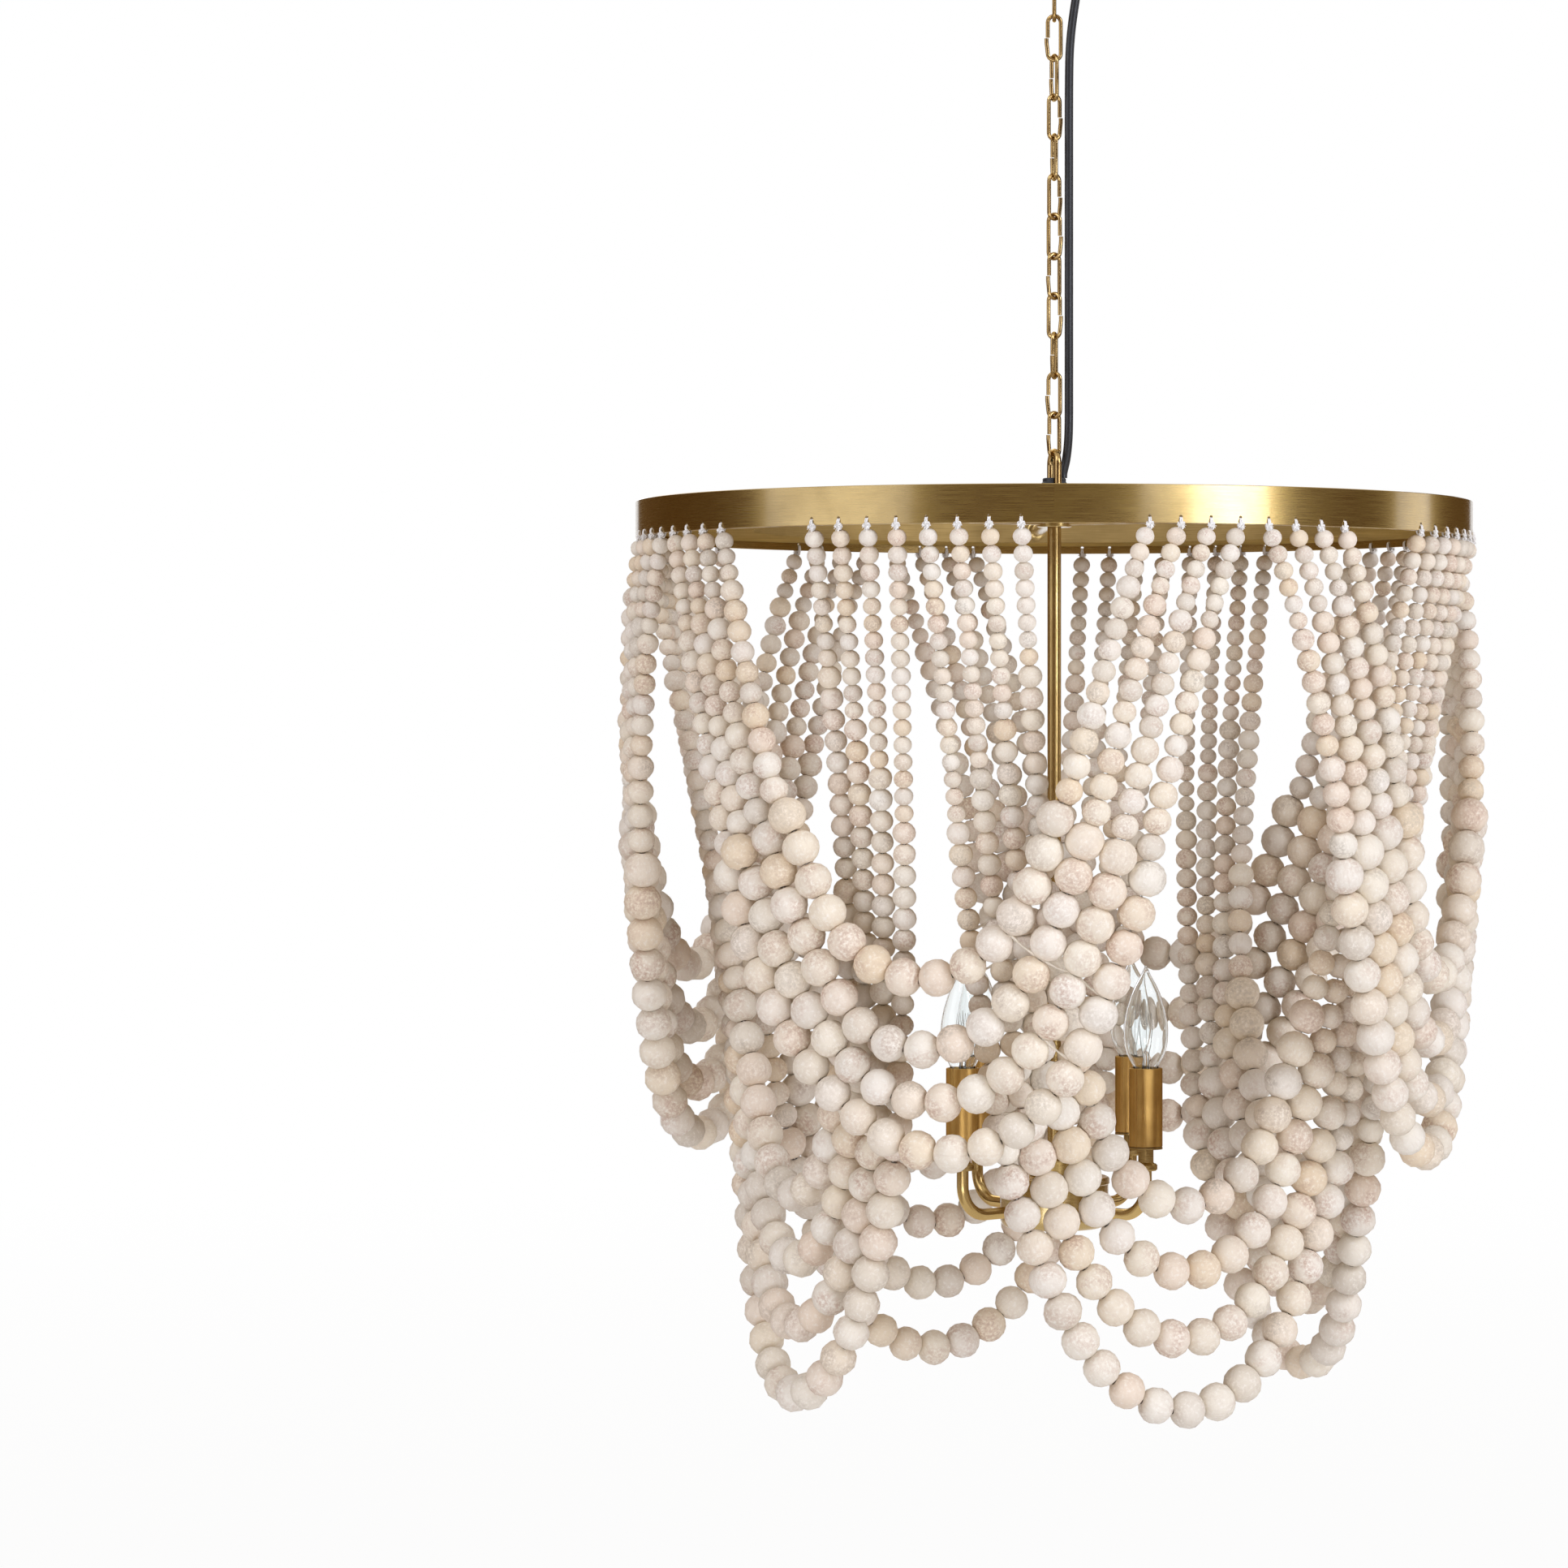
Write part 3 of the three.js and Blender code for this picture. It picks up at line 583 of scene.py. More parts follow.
@dataclass
class CopyTree:
    """Node tree that puts a copy of a shape on each point of a mesh.

    The points carry the attributes "turn" (Euler angles) and "size". Each copy gets a random spin
    about its own Z and a random "tint" from 0 to 1.
    """

    name: str = "copies_on_points"
    inputs = {
        "Geometry": "NodeSocketGeometry",
        "Shape": "NodeSocketObject",
        "Spin": "NodeSocketFloat",
        "Seed": "NodeSocketInt",
        "Finish": "NodeSocketMaterial",
    }

    def build(self) -> bpy.types.NodeTree:
        """Makes the tree, or finds it if it exists.

        Returns:
            The tree.
        """
        tree = bpy.data.node_groups.get(self.name)
        if tree:
            return tree
        tree = bpy.data.node_groups.new(self.name, "GeometryNodeTree")
        for label, kind in self.inputs.items():
            tree.interface.new_socket(label, in_out="INPUT", socket_type=kind)
        tree.interface.new_socket("Geometry", in_out="OUTPUT", socket_type="NodeSocketGeometry")
        nodes = Nodes(tree)
        given = nodes.add("NodeGroupInput").outputs
        shape = nodes.add("GeometryNodeObjectInfo", Object=given["Shape"])
        turn = self._attribute(nodes, "turn", "FLOAT_VECTOR")
        copies = nodes.add(
            "GeometryNodeInstanceOnPoints",
            Points=given["Geometry"],
            Instance=shape.outputs["Geometry"],
            Rotation=nodes.add("FunctionNodeEulerToRotation", turn).outputs[0],
            Scale=self._attribute(nodes, "size", "FLOAT"),
        )
        about = nodes.add("ShaderNodeCombineXYZ", Z=self._random(nodes, given, given["Spin"]))
        turned = nodes.add(
            "GeometryNodeRotateInstances", Instances=copies.outputs[0], Rotation=about.outputs[0]
        )
        kept = nodes.add("GeometryNodeStoreNamedAttribute", Name="tint")
        kept.data_type, kept.domain = "FLOAT", "INSTANCE"
        nodes.fill(kept, Geometry=turned.outputs[0], Value=self._random(nodes, given, 1.0))
        real = nodes.add("GeometryNodeRealizeInstances", kept.outputs[0])
        finish = nodes.add(
            "GeometryNodeSetMaterial", Geometry=real.outputs[0], Material=given["Finish"]
        )
        nodes.add("NodeGroupOutput", finish.outputs[0])
        return tree

    @staticmethod
    def _attribute(nodes: Nodes, name: str, kind: str) -> Socket:
        """Reads a named attribute of the points.

        Args:
            nodes: helper on the tree.
            name: name of the attribute.
            kind: its data type.

        Returns:
            Its value.
        """
        reader = nodes.add("GeometryNodeInputNamedAttribute", Name=name)
        reader.data_type = kind
        return reader.outputs["Attribute"]

    @staticmethod
    def _random(nodes: Nodes, given: bpy.types.NodeOutputs, most: object) -> Socket:
        """Draws a random number for each copy from the seed.

        Args:
            nodes: helper on the tree.
            given: the tree's inputs.
            most: the greatest number, as a value or a socket.

        Returns:
            The number, 0 at least.
        """
        number = nodes.add("FunctionNodeRandomValue", Seed=given["Seed"])
        number.data_type = "FLOAT"
        nodes.feed(number.inputs[3], most)
        return number.outputs[1]

    def place(
        self,
        name: str,
        shape: Piece,
        points: Sequence[Vector],
        turns: Sequence[Matrix],
        finish: bpy.types.Material,
        sizes: Sequence[float] = (),
        spin: float = 0.0,
        seed: int = 0,
    ) -> Piece:
        """Makes one plain mesh of copies.

        Args:
            name: name of the piece.
            shape: object that is copied.
            points: place of each copy.
            turns: 3x3 rotation of each copy.
            finish: material of the copies.
            sizes: scale of each copy, 1 for all if left out.
            spin: greatest random turn about the copy's own Z, in radians.
            seed: seed of the random values.

        Returns:
            The piece, with its modifier already applied.
        """
        cloud = bpy.data.meshes.new(name + "_points")
        cloud.from_pydata([tuple(p) for p in points], [], [])
        turn = cloud.attributes.new("turn", "FLOAT_VECTOR", "POINT")
        turn.data.foreach_set("vector", [value for m in turns for value in m.to_euler()])
        size = cloud.attributes.new("size", "FLOAT", "POINT")
        size.data.foreach_set("value", list(sizes) or [1.0] * len(points))
        piece = add_object(name, cloud)
        tree = self.build()
        modifier = piece.modifiers.new("copies", "NODES")
        modifier.node_group = tree
        values = {"Shape": shape, "Spin": spin, "Seed": seed, "Finish": finish}
        for item in tree.interface.items_tree:
            if item.in_out == "INPUT" and item.name in values:
                modifier[item.identifier] = values[item.name]
        apply_modifier(piece, modifier).name = name
        bpy.data.meshes.remove(cloud)
        return piece


# Finishes


def new_material(name: str) -> tuple[bpy.types.Material, Nodes, bpy.types.Node]:
    """Starts a material.

    Args:
        name: name of the material.

    Returns:
        The material, a helper on its tree, and its Principled BSDF.
    """
    material = bpy.data.materials.new(name)
    material.use_nodes = True
    return material, Nodes(material.node_tree), material.node_tree.nodes["Principled BSDF"]


@dataclass(frozen=True)
class Finish:
    """Named finish, with the slot that its pieces share."""

    name: str
    slot: str

    def make(self) -> bpy.types.Material:
        """Makes the material, shaded by the finish's own method.

        Returns:
            The material.
        """
        material, shader, bsdf = new_material(self.name)
        self.shade(shader, bsdf)
        return material

    def shade(self, shader: Nodes, bsdf: bpy.types.Node) -> None:
        """Feeds the Principled BSDF, in each kind of finish its own way."""
        raise NotImplementedError


@dataclass(frozen=True)
class MetalFinish(Finish):
    """Brushed or satin metal with uneven ageing, in two tones."""

    light: Colour
    dark: Colour
    roughness: float
    fineness: float = 2600.0
    length: float = 30.0
    scratch_depth: float = 0.25
    patch_scale: float = 28.0
    streak: float = 0.12
    lacquer: float = 0.0
    gloss: float = 0.24
    edge: Colour = (0.86, 0.70, 0.46)
    patch_contrast: float = 0.25
    streak_shade: float = 0.62
    rough_low: float = 0.85
    rough_high: float = 1.25
    dark_dulling: float = -0.06
    scratch_height: float = 0.0001

    def shade(self, shader: Nodes, bsdf: bpy.types.Node) -> None:
        """Feeds the Principled BSDF.

        Args:
            shader: helper on the material's tree.
            bsdf: the material's Principled BSDF.
        """
        where = shader.add("ShaderNodeTexCoord").outputs
        brushed = shader.group(
            SCRATCHES.build(), Vector=where["UV"], Fineness=self.fineness, Length=self.length
        )
        aged = shader.group(
            PATCHES.build(), Vector=where["Object"], Scale=self.patch_scale,
            Contrast=self.patch_contrast,
        )["Patches"]
        streak = shader.between(brushed["Scratches"], 0.0, self.streak)
        deep = tuple(part * self.streak_shade for part in self.dark)
        rough = shader.between(
            brushed["Scratches"], self.roughness * self.rough_low, self.roughness * self.rough_high
        )
        shader.fill(
            bsdf,
            Base_Color=shader.mix(streak, shader.mix(aged, self.dark, self.light), deep),
            Roughness=shader.math("ADD", rough, shader.math("MULTIPLY", aged, self.dark_dulling)),
            Normal=shader.bump(brushed["Height"], self.scratch_depth, self.scratch_height),
            Metallic=1.0,
            Specular_Tint=(*self.edge, 1),
            Coat_Weight=self.lacquer,
            Coat_Roughness=self.gloss,
        )


@dataclass(frozen=True)
class WoodFinish(Finish):
    """Limed wood beads: each its own pale tone, with fine brownish or greyish mottling.

    Each bead carries its own "grain" coordinates, one unit wide, and a random "tint". The spans
    map a pattern's range to the strength of what it draws. A dark disc round the axis at each end
    is painted shade for the bore.
    """

    name: str = "limed_wood"
    slot: str = "limed_wood"
    tones: tuple[tuple[float, Colour], ...] = (
        (0.0, (0.81, 0.73, 0.59)),
        (0.14, (0.85, 0.80, 0.70)),
        (0.28, (0.80, 0.67, 0.53)),
        (0.42, (0.85, 0.78, 0.64)),
        (0.56, (0.79, 0.65, 0.46)),
        (0.70, (0.84, 0.78, 0.68)),
        (0.84, (0.72, 0.65, 0.54)),
        (1.0, (0.83, 0.74, 0.59)),
    )
    rosy: Colour = (0.52, 0.34, 0.25)
    ashen: Colour = (0.48, 0.42, 0.34)
    grain: Colour = (0.58, 0.46, 0.36)
    wash: Colour = (0.93, 0.89, 0.83)
    # painted shade: near-black colour of the disc that stands for the shaded bore at each end
    hole: Colour = (0.10, 0.07, 0.05)
    chance_steps: Pair = (17.3, 41.7)
    pattern_shift: float = 37.0
    cloud_scale: float = 1.5
    mottle_scale: float = 11.0
    line_scale: float = 3.2
    line_stretch: Place = (1.0, 5.0, 1.0)
    patch_span: Span = (0.44, 0.64, 0.12, 1.0)
    fine_span: Span = (0.40, 0.62, 0.0, 1.0)
    stain_span: Pair = (0.2, 0.85)
    ashen_span: Span = (0.6, 0.85, 0.0, 1.0)
    wash_span: Span = (0.36, 0.46, 0.4, 0.0)
    line_span: Span = (0.52, 0.72, 0.0, 0.28)
    # painted shade: how far out from the axis the bore's dark disc reaches, and how strong it is
    bore_shade_span: Span = (0.075, 0.095, 0.9, 0.0)
    rough_span: Pair = (0.66, 0.82)
    mottle_height: float = 0.8
    relief: float = 0.3
    depth: float = 0.0005
    shine: float = 0.3

    def shade(self, shader: Nodes, bsdf: bpy.types.Node) -> None:
        """Feeds the Principled BSDF.

        Args:
            shader: helper on the material's tree.
            bsdf: the material's Principled BSDF.
        """
        tint = self._attribute(shader, "tint")["Fac"]
        own = self._attribute(shader, "grain")["Vector"]
        chance, kind = (
            shader.math("FRACT", shader.math("MULTIPLY", tint, step)) for step in self.chance_steps
        )
        shift = shader.math("MULTIPLY", tint, self.pattern_shift)
        apart = shader.add("ShaderNodeCombineXYZ", shift, shift, shift).outputs[0]
        place = shader.vector("ADD", own, apart)
        mottle = shader.noise(place, self.mottle_scale, 4.0, 0.7)
        stretched = shader.vector("MULTIPLY", place, self.line_stretch)
        lines = shader.noise(stretched, self.line_scale, 5.0, 0.65)
        patch = shader.spread(shader.noise(place, self.cloud_scale, 1.0), *self.patch_span)
        fine = shader.spread(mottle, *self.fine_span)
        amount = shader.math(
            "MULTIPLY", shader.math("MULTIPLY", patch, fine),
            shader.between(chance, *self.stain_span),
        )
        stain = shader.mix(shader.spread(kind, *self.ashen_span), self.rosy, self.ashen)
        colour = shader.mix(amount, self._tone(shader, tint), stain)
        colour = shader.mix(shader.spread(mottle, *self.wash_span), colour, self.wash)
        colour = shader.mix(shader.spread(lines, *self.line_span), colour, self.grain)
        # painted shade: a dark disc round the axis stands in for the shaded bore, as the bead has
        # no hole
        bore = shader.spread(shader.off_axis(own), *self.bore_shade_span)
        height = shader.math("ADD", lines, shader.math("MULTIPLY", mottle, self.mottle_height))
        shader.fill(
            bsdf,
            Base_Color=shader.mix(bore, colour, self.hole),
            Roughness=shader.between(fine, *self.rough_span),
            Normal=shader.bump(height, self.relief, self.depth),
            Specular_IOR_Level=self.shine,
        )

    def _tone(self, shader: Nodes, tint: Socket) -> Socket:
        """Gives each bead its base tone.

        Args:
            shader: helper on the material's tree.
            tint: the bead's random tint.

        Returns:
            The tone.
        """
        ramp = shader.add("ShaderNodeValToRGB", Fac=tint)
        stops = ramp.color_ramp.elements
        while len(stops) < len(self.tones):
            stops.new(0.5)
        for stop, (place, colour) in zip(stops, self.tones):
            stop.position = place
            stop.color = (*colour, 1)
        return ramp.outputs["Color"]

    @staticmethod
    def _attribute(shader: Nodes, name: str) -> bpy.types.NodeOutputs:
        """Reads an attribute of the beads.

        Args:
            shader: helper on the material's tree.
            name: name of the attribute.

        Returns:
            The outputs of its node.
        """
        reader = shader.add("ShaderNodeAttribute")
        reader.attribute_name = name
        return reader.outputs


@dataclass(frozen=True)
class PlainFinish(Finish):
    """Non-metal with slight mottling, for string, cord and plastic."""

    colour: Colour
    shadow: Colour
    roughness: float
    scale: float = 400.0
    relief: float = 0.2
    contrast: float = 0.2
    shadow_roughness: float = 0.08
    depth: float = 0.0002

    def shade(self, shader: Nodes, bsdf: bpy.types.Node) -> None:
        """Feeds the Principled BSDF.

        Args:
            shader: helper on the material's tree.
            bsdf: the material's Principled BSDF.
        """
        where = shader.add("ShaderNodeTexCoord").outputs["Object"]
        patches = shader.group(
            PATCHES.build(), Vector=where, Scale=self.scale, Contrast=self.contrast
        )["Patches"]
        shader.fill(
            bsdf,
            Base_Color=shader.mix(patches, self.shadow, self.colour),
            Roughness=shader.between(
                patches, self.roughness + self.shadow_roughness, self.roughness
            ),
            Normal=shader.bump(patches, self.relief, self.depth),
        )


@dataclass(frozen=True)
class GlassFinish(Finish):
    """Clear thin glass with faint waviness."""

    name: str = "clear_glass"
    slot: str = "clear_glass"
    colour: Colour = (0.97, 0.985, 0.985)
    reflection: Colour = (1.0, 0.93, 0.82)
    bending: float = 1.32
    wave_scale: float = 30.0
    relief: float = 0.03
    depth: float = 0.0003
    smear_span: Span = (0.3, 0.8, 0.0, 0.012)

    def shade(self, shader: Nodes, bsdf: bpy.types.Node) -> None:
        """Feeds the Principled BSDF.

        Args:
            shader: helper on the material's tree.
            bsdf: the material's Principled BSDF.
        """
        where = shader.add("ShaderNodeTexCoord").outputs["Object"]
        waves = shader.noise(where, self.wave_scale, 0.0)
        shader.fill(
            bsdf,
            Base_Color=(*self.colour, 1),
            Roughness=shader.spread(waves, *self.smear_span),
            Normal=shader.bump(waves, self.relief, self.depth),
            Transmission_Weight=1.0,
            Specular_Tint=(*self.reflection, 1),
            IOR=self.bending,
        )


@dataclass
class Finishes:
    """All materials of the chandelier, each made once."""

    aged_brass = MetalFinish(
        "aged_brass", "aged_brass", (0.50, 0.345, 0.12), (0.36, 0.235, 0.066), 0.29,
        fineness=5200.0, scratch_depth=0.08, streak=0.08, lacquer=1.0, gloss=0.13,
    )
    flange_brass = MetalFinish(
        "flange_brass", "aged_brass", (0.52, 0.365, 0.145), (0.31, 0.21, 0.08), 0.66,
        scratch_depth=0.1, edge=(0.38, 0.26, 0.10),
    )
    arm_brass = MetalFinish(
        "arm_brass", "aged_brass", (0.58, 0.405, 0.155), (0.41, 0.265, 0.09), 0.24,
        fineness=300.0, length=40.0, scratch_depth=0.03, streak=0.04, lacquer=0.3,
    )
    chain_brass = MetalFinish(
        "chain_brass", "chain_brass", (0.54, 0.38, 0.17), (0.32, 0.19, 0.065), 0.24,
        fineness=900.0, length=120.0, scratch_depth=0.1,
    )
    sleeve_brass = MetalFinish(
        "sleeve_brass", "sleeve_brass", (0.66, 0.40, 0.125), (0.44, 0.25, 0.07), 0.34,
        fineness=9.0, length=800.0, scratch_depth=0.1, patch_scale=60.0, streak=0.2,
    )
    socket_brass = MetalFinish(
        "socket_brass", "socket_brass", (0.47, 0.32, 0.13), (0.28, 0.18, 0.06), 0.3
    )
    zinc_steel = MetalFinish(
        "zinc_steel", "zinc_steel", (0.66, 0.65, 0.62), (0.48, 0.47, 0.46), 0.4,
        edge=(0.95, 0.95, 0.95),
    )
    filament_wire = MetalFinish(
        "filament_wire", "socket_brass", (0.42, 0.40, 0.37), (0.22, 0.21, 0.2), 0.35,
        edge=(0.9, 0.9, 0.9),
    )
    wood = WoodFinish()
    glass = GlassFinish()
    string = PlainFinish(
        "white_string", "limed_wood", (0.93, 0.92, 0.90), (0.76, 0.74, 0.70), 0.85,
        scale=1500.0, relief=0.5,
    )
    thread = PlainFinish(
        "cream_thread", "limed_wood", (0.93, 0.88, 0.78), (0.82, 0.74, 0.60), 0.8,
        scale=900.0, relief=0.4,
    )
    rubber = PlainFinish(
        "black_plastic", "black_plastic", (0.018, 0.018, 0.02), (0.01, 0.01, 0.011), 0.42
    )
    jacket = PlainFinish(
        "cord_jacket", "cord_jacket", (0.02, 0.02, 0.022), (0.011, 0.011, 0.012), 0.33,
        scale=160.0, relief=0.1,
    )

    def __post_init__(self) -> None:
        """Prepares the store of made materials."""
        self._made: dict[str, bpy.types.Material] = {}

    def material(self, finish: Finish) -> bpy.types.Material:
        """Makes a finish's material the first time it is asked for.

        Args:
            finish: one of this class's finishes.

        Returns:
            The material.
        """
        if finish.name not in self._made:
            self._made[finish.name] = finish.make()
        return self._made[finish.name]

    def paint(self, piece: Piece, finish: Finish) -> Piece:
        """Gives a piece its material.

        Args:
            piece: the piece.
            finish: one of this class's finishes.

        Returns:
            The piece.
        """
        piece.data.materials.clear()
        piece.data.materials.append(self.material(finish))
        LOG.info("%s in %s: %d faces", piece.name, finish.name, len(piece.data.polygons))
        return piece

    def dress(
        self, piece: Piece, finish: Finish, *nodes: str, body: str = Body.FIXTURE.value
    ) -> None:
        """Gives a piece its material, its body and the solids that it stands for.

        Args:
            piece: the piece.
            finish: one of this class's finishes.
            nodes: names of the solids that it replaces.
            body: name of the body that it rides on.
        """
        self.paint(piece, finish)
        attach(piece, body)
        if nodes:
            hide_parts(*nodes)
        LOG.info("%s rides on %s", piece.name, body)


# Studio


@dataclass(frozen=True)
class Softbox:
    """Rectangular soft lamp that faces the middle of the chandelier."""

    name: str
    place: Place
    width: float
    height: float
    power: float
    colour: Colour = (1.0, 1.08, 1.24)
    aim: Place = (0, 0, -0.75)

    def build(self) -> None:
        """Adds the lamp."""
        data = bpy.data.lights.new(self.name, "AREA")
        data.shape = "RECTANGLE"
        data.size, data.size_y = self.width, self.height
        data.energy, data.color = self.power, self.colour
        lamp = add_object(self.name, data)
        lamp.location = self.place
        direction = Vector(self.aim) - Vector(self.place)
        lamp.rotation_euler = direction.to_track_quat("-Z", "Y").to_euler()


@dataclass
class Studio:
    """Camera, lamps, floor and the world round the chandelier."""

    softboxes = (
        Softbox("top_softbox", (-1.7, -2.3, 2.2), 1.5, 1.5, 35.0),
        Softbox("right_softbox", (2.9, -1.9, 1.4), 1.4, 1.4, 62.0),
        Softbox("right_strip", (2.56, -2.46, -0.33), 1.3, 0.7, 20.0),
        Softbox("right_strip_edge", (1.72, -3.08, -0.33), 0.9, 0.7, 3.0),
        Softbox("left_softbox", (-3.05, -1.83, 0.5), 3.1, 2.3, 36.0),
        Softbox("front_bounce", (0.1, -3.1, -1.8), 3.2, 0.9, 44.0),
        Softbox("side_softbox", (3.1, 1.15, -0.2), 1.0, 1.0, 5.0),
        Softbox("back_softbox", (-1.2, 3.2, 0.8), 2.0, 2.0, 20.0),
    )

    picture_width: float = 1932.0
    focal_pixels: float = 6425.0
    axis_column: float = 1299.0
    eye_row: float = 905.0
    distance: float = 3.81
    eye_below_ring: float = 0.1424
    far_clip: float = 100.0
    sensor: float = 36.0
    floor_height: float = -1.9
    floor_half: float = 30.0
    floor_tone: Colour = (0.9, 0.9, 0.9)
    floor_roughness: float = 0.9
    glow_span: Span = (3.0, 11.0, 0.955, 1.0)
    wall_radius: float = 8.5
    wall_reach: int = 160
    wall_step: int = 8
    wall_top: float = 5.0
    ambient: Colour = (0.205, 0.12, 0.048)
    reflected: Colour = (0.122, 0.066, 0.021)

    def build(self) -> None:
        """Adds everything that isn't part of the object."""
        self._camera()
        self._floor()
        self._walls()
        self._world()
        for box in self.softboxes:
            box.build()

    def _camera(self) -> None:
        """Adds the level camera of the photograph."""
        ring_low, _ring_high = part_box("ring_band")
        data = bpy.data.cameras.new("camera")
        data.sensor_width = self.sensor
        data.lens = self.focal_pixels / self.picture_width * self.sensor
        data.shift_x = (self.picture_width / 2 - self.axis_column) / self.picture_width
        data.shift_y = (self.eye_row - self.picture_width / 2) / self.picture_width
        data.clip_end = self.far_clip
        camera = add_object("camera", data)
        camera.location = (0.0, -self.distance, ring_low.z - self.eye_below_ring)
        camera.rotation_euler = (math.radians(90), 0, 0)
        bpy.context.scene.camera = camera

    def _floor(self) -> None:
        """Adds the pale floor, which keeps a faint shadow and is clear from below."""
        half = self.floor_half
        corners = [(-half, -half), (half, -half), (half, half), (-half, half)]
        floor = mesh_object(
            "floor", [(x, y, self.floor_height) for x, y in corners], [(0, 1, 2, 3)]
        )
        material, shader, bsdf = new_material("floor_paper")
        shader.fill(bsdf, Base_Color=(*self.floor_tone, 1), Roughness=self.floor_roughness)
        where = shader.add("ShaderNodeTexCoord").outputs["Object"]
        glow_share = shader.spread(shader.off_axis(where), *self.glow_span)
        paper = shader.add(
            "ShaderNodeMixShader", shader.math("MULTIPLY", self._seen(shader), glow_share),
            bsdf.outputs[0], self._glow(shader, WHITE),
        )
        sided = shader.add(
            "ShaderNodeMixShader", shader.add("ShaderNodeNewGeometry").outputs["Backfacing"],
            paper.outputs[0], shader.add("ShaderNodeBsdfTransparent").outputs[0],
        )
        self._set_up(floor, material, sided.outputs[0])

    def _walls(self) -> None:
        """Adds the walls round the viewer's side, white to look at but dim to the brass."""
        azimuths = range(-self.wall_reach, self.wall_reach + 1, self.wall_step)
        heights = (self.floor_height, self.wall_top)
        vertices = [around(a, self.wall_radius, z) for a in azimuths for z in heights]
        faces = [(2 * i, 2 * i + 1, 2 * i + 3, 2 * i + 2) for i in range(len(azimuths) - 1)]
        walls = mesh_object("studio_walls", vertices, faces)
        material, shader, _bsdf = new_material("studio_wall_paint")
        ray = shader.add("ShaderNodeLightPath").outputs
        lit = shader.mix(ray["Is Glossy Ray"], self.ambient, self.reflected)
        direct = shader.math("MAXIMUM", ray["Is Camera Ray"], ray["Is Transmission Ray"])
        self._set_up(walls, material, self._glow(shader, shader.mix(direct, lit, WHITE)))

    def _world(self) -> None:
        """Sets a white background and a softer ambient light."""
        world = bpy.data.worlds.new("studio")
        world.use_nodes = True
        shader = Nodes(world.node_tree)
        background = world.node_tree.nodes["Background"]
        shader.fill(background, Color=shader.mix(self._seen(shader), self.ambient, WHITE))
        bpy.context.scene.world = world
        bpy.context.scene.view_settings.view_transform = "Standard"

    @staticmethod
    def _seen(shader: Nodes) -> Socket:
        """Marks camera, glossy and transmission rays.

        Args:
            shader: helper on the tree.

        Returns:
            1 for such rays and 0 for others.
        """
        ray = shader.add("ShaderNodeLightPath").outputs
        total = shader.math("ADD", ray["Is Camera Ray"], ray["Is Glossy Ray"])
        total = shader.math("ADD", total, ray["Is Transmission Ray"])
        return shader.math("MINIMUM", total, 1.0)

    @staticmethod
    def _glow(shader: Nodes, colour: Point | Socket) -> Socket:
        """Adds a glow of a colour at the strength 1 and returns its shader."""
        return shader.add("ShaderNodeEmission", Color=colour, Strength=1.0).outputs[0]

    @staticmethod
    def _set_up(piece: Piece, material: bpy.types.Material, surface: Socket) -> None:
        """Args:
            piece: the floor or the walls.
            material: its material.
            surface: the shader that the material shows.
        """
        output = material.node_tree.nodes["Material Output"]
        material.node_tree.links.new(surface, output.inputs["Surface"])
        piece.data.materials.append(material)


# Ceiling end, chain and cord


@dataclass
class SupplyCord:
    """Black round cord from the canopy's bush to the gland on the ring's boss.

    Its route is in millimetres.
    """

    finishes: Finishes
    diameter: float = 0.0063
    length: float = 0.374
    route: tuple[Place, ...] = (
        (17.5, 0, -51.1), (17.5, 0, -56), (17.2, 0, -62), (16, 0, -72), (14.2, 0, -84),
        (12.4, 0, -98), (11.2, 0, -114), (10.8, 0, -134), (10.7, 0, -160), (10.7, 0, -190),
        (10.7, 0, -220), (10.7, 0, -250), (10.7, 0, -280), (10.7, 0, -310), (10.7, 0, -336),
        (10.7, 0, -360), (10.7, 0.1, -378), (10.5, 0.4, -391), (9.9, 1, -401), (8.8, 1.8, -410),
        (7.4, 2.6, -416.6), (6.5, 3, -420.6), (6.3, 3, -424.1),
    )
    steps: int = 6
    sides: int = 20
    bend_top: float = -0.075
    bend_bottom: float = -0.108

    def build(self) -> None:
        """Makes the cord."""
        points = [Vector(p) / 1000 for p in self.route]
        smooth = smooth_path(points, self.steps)
        piece = sweep("supply_cord", smooth, self.diameter / 2, self.sides)
        self.finishes.paint(piece, self.finishes.jacket)
        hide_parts("pendant_cord")
        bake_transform(piece)


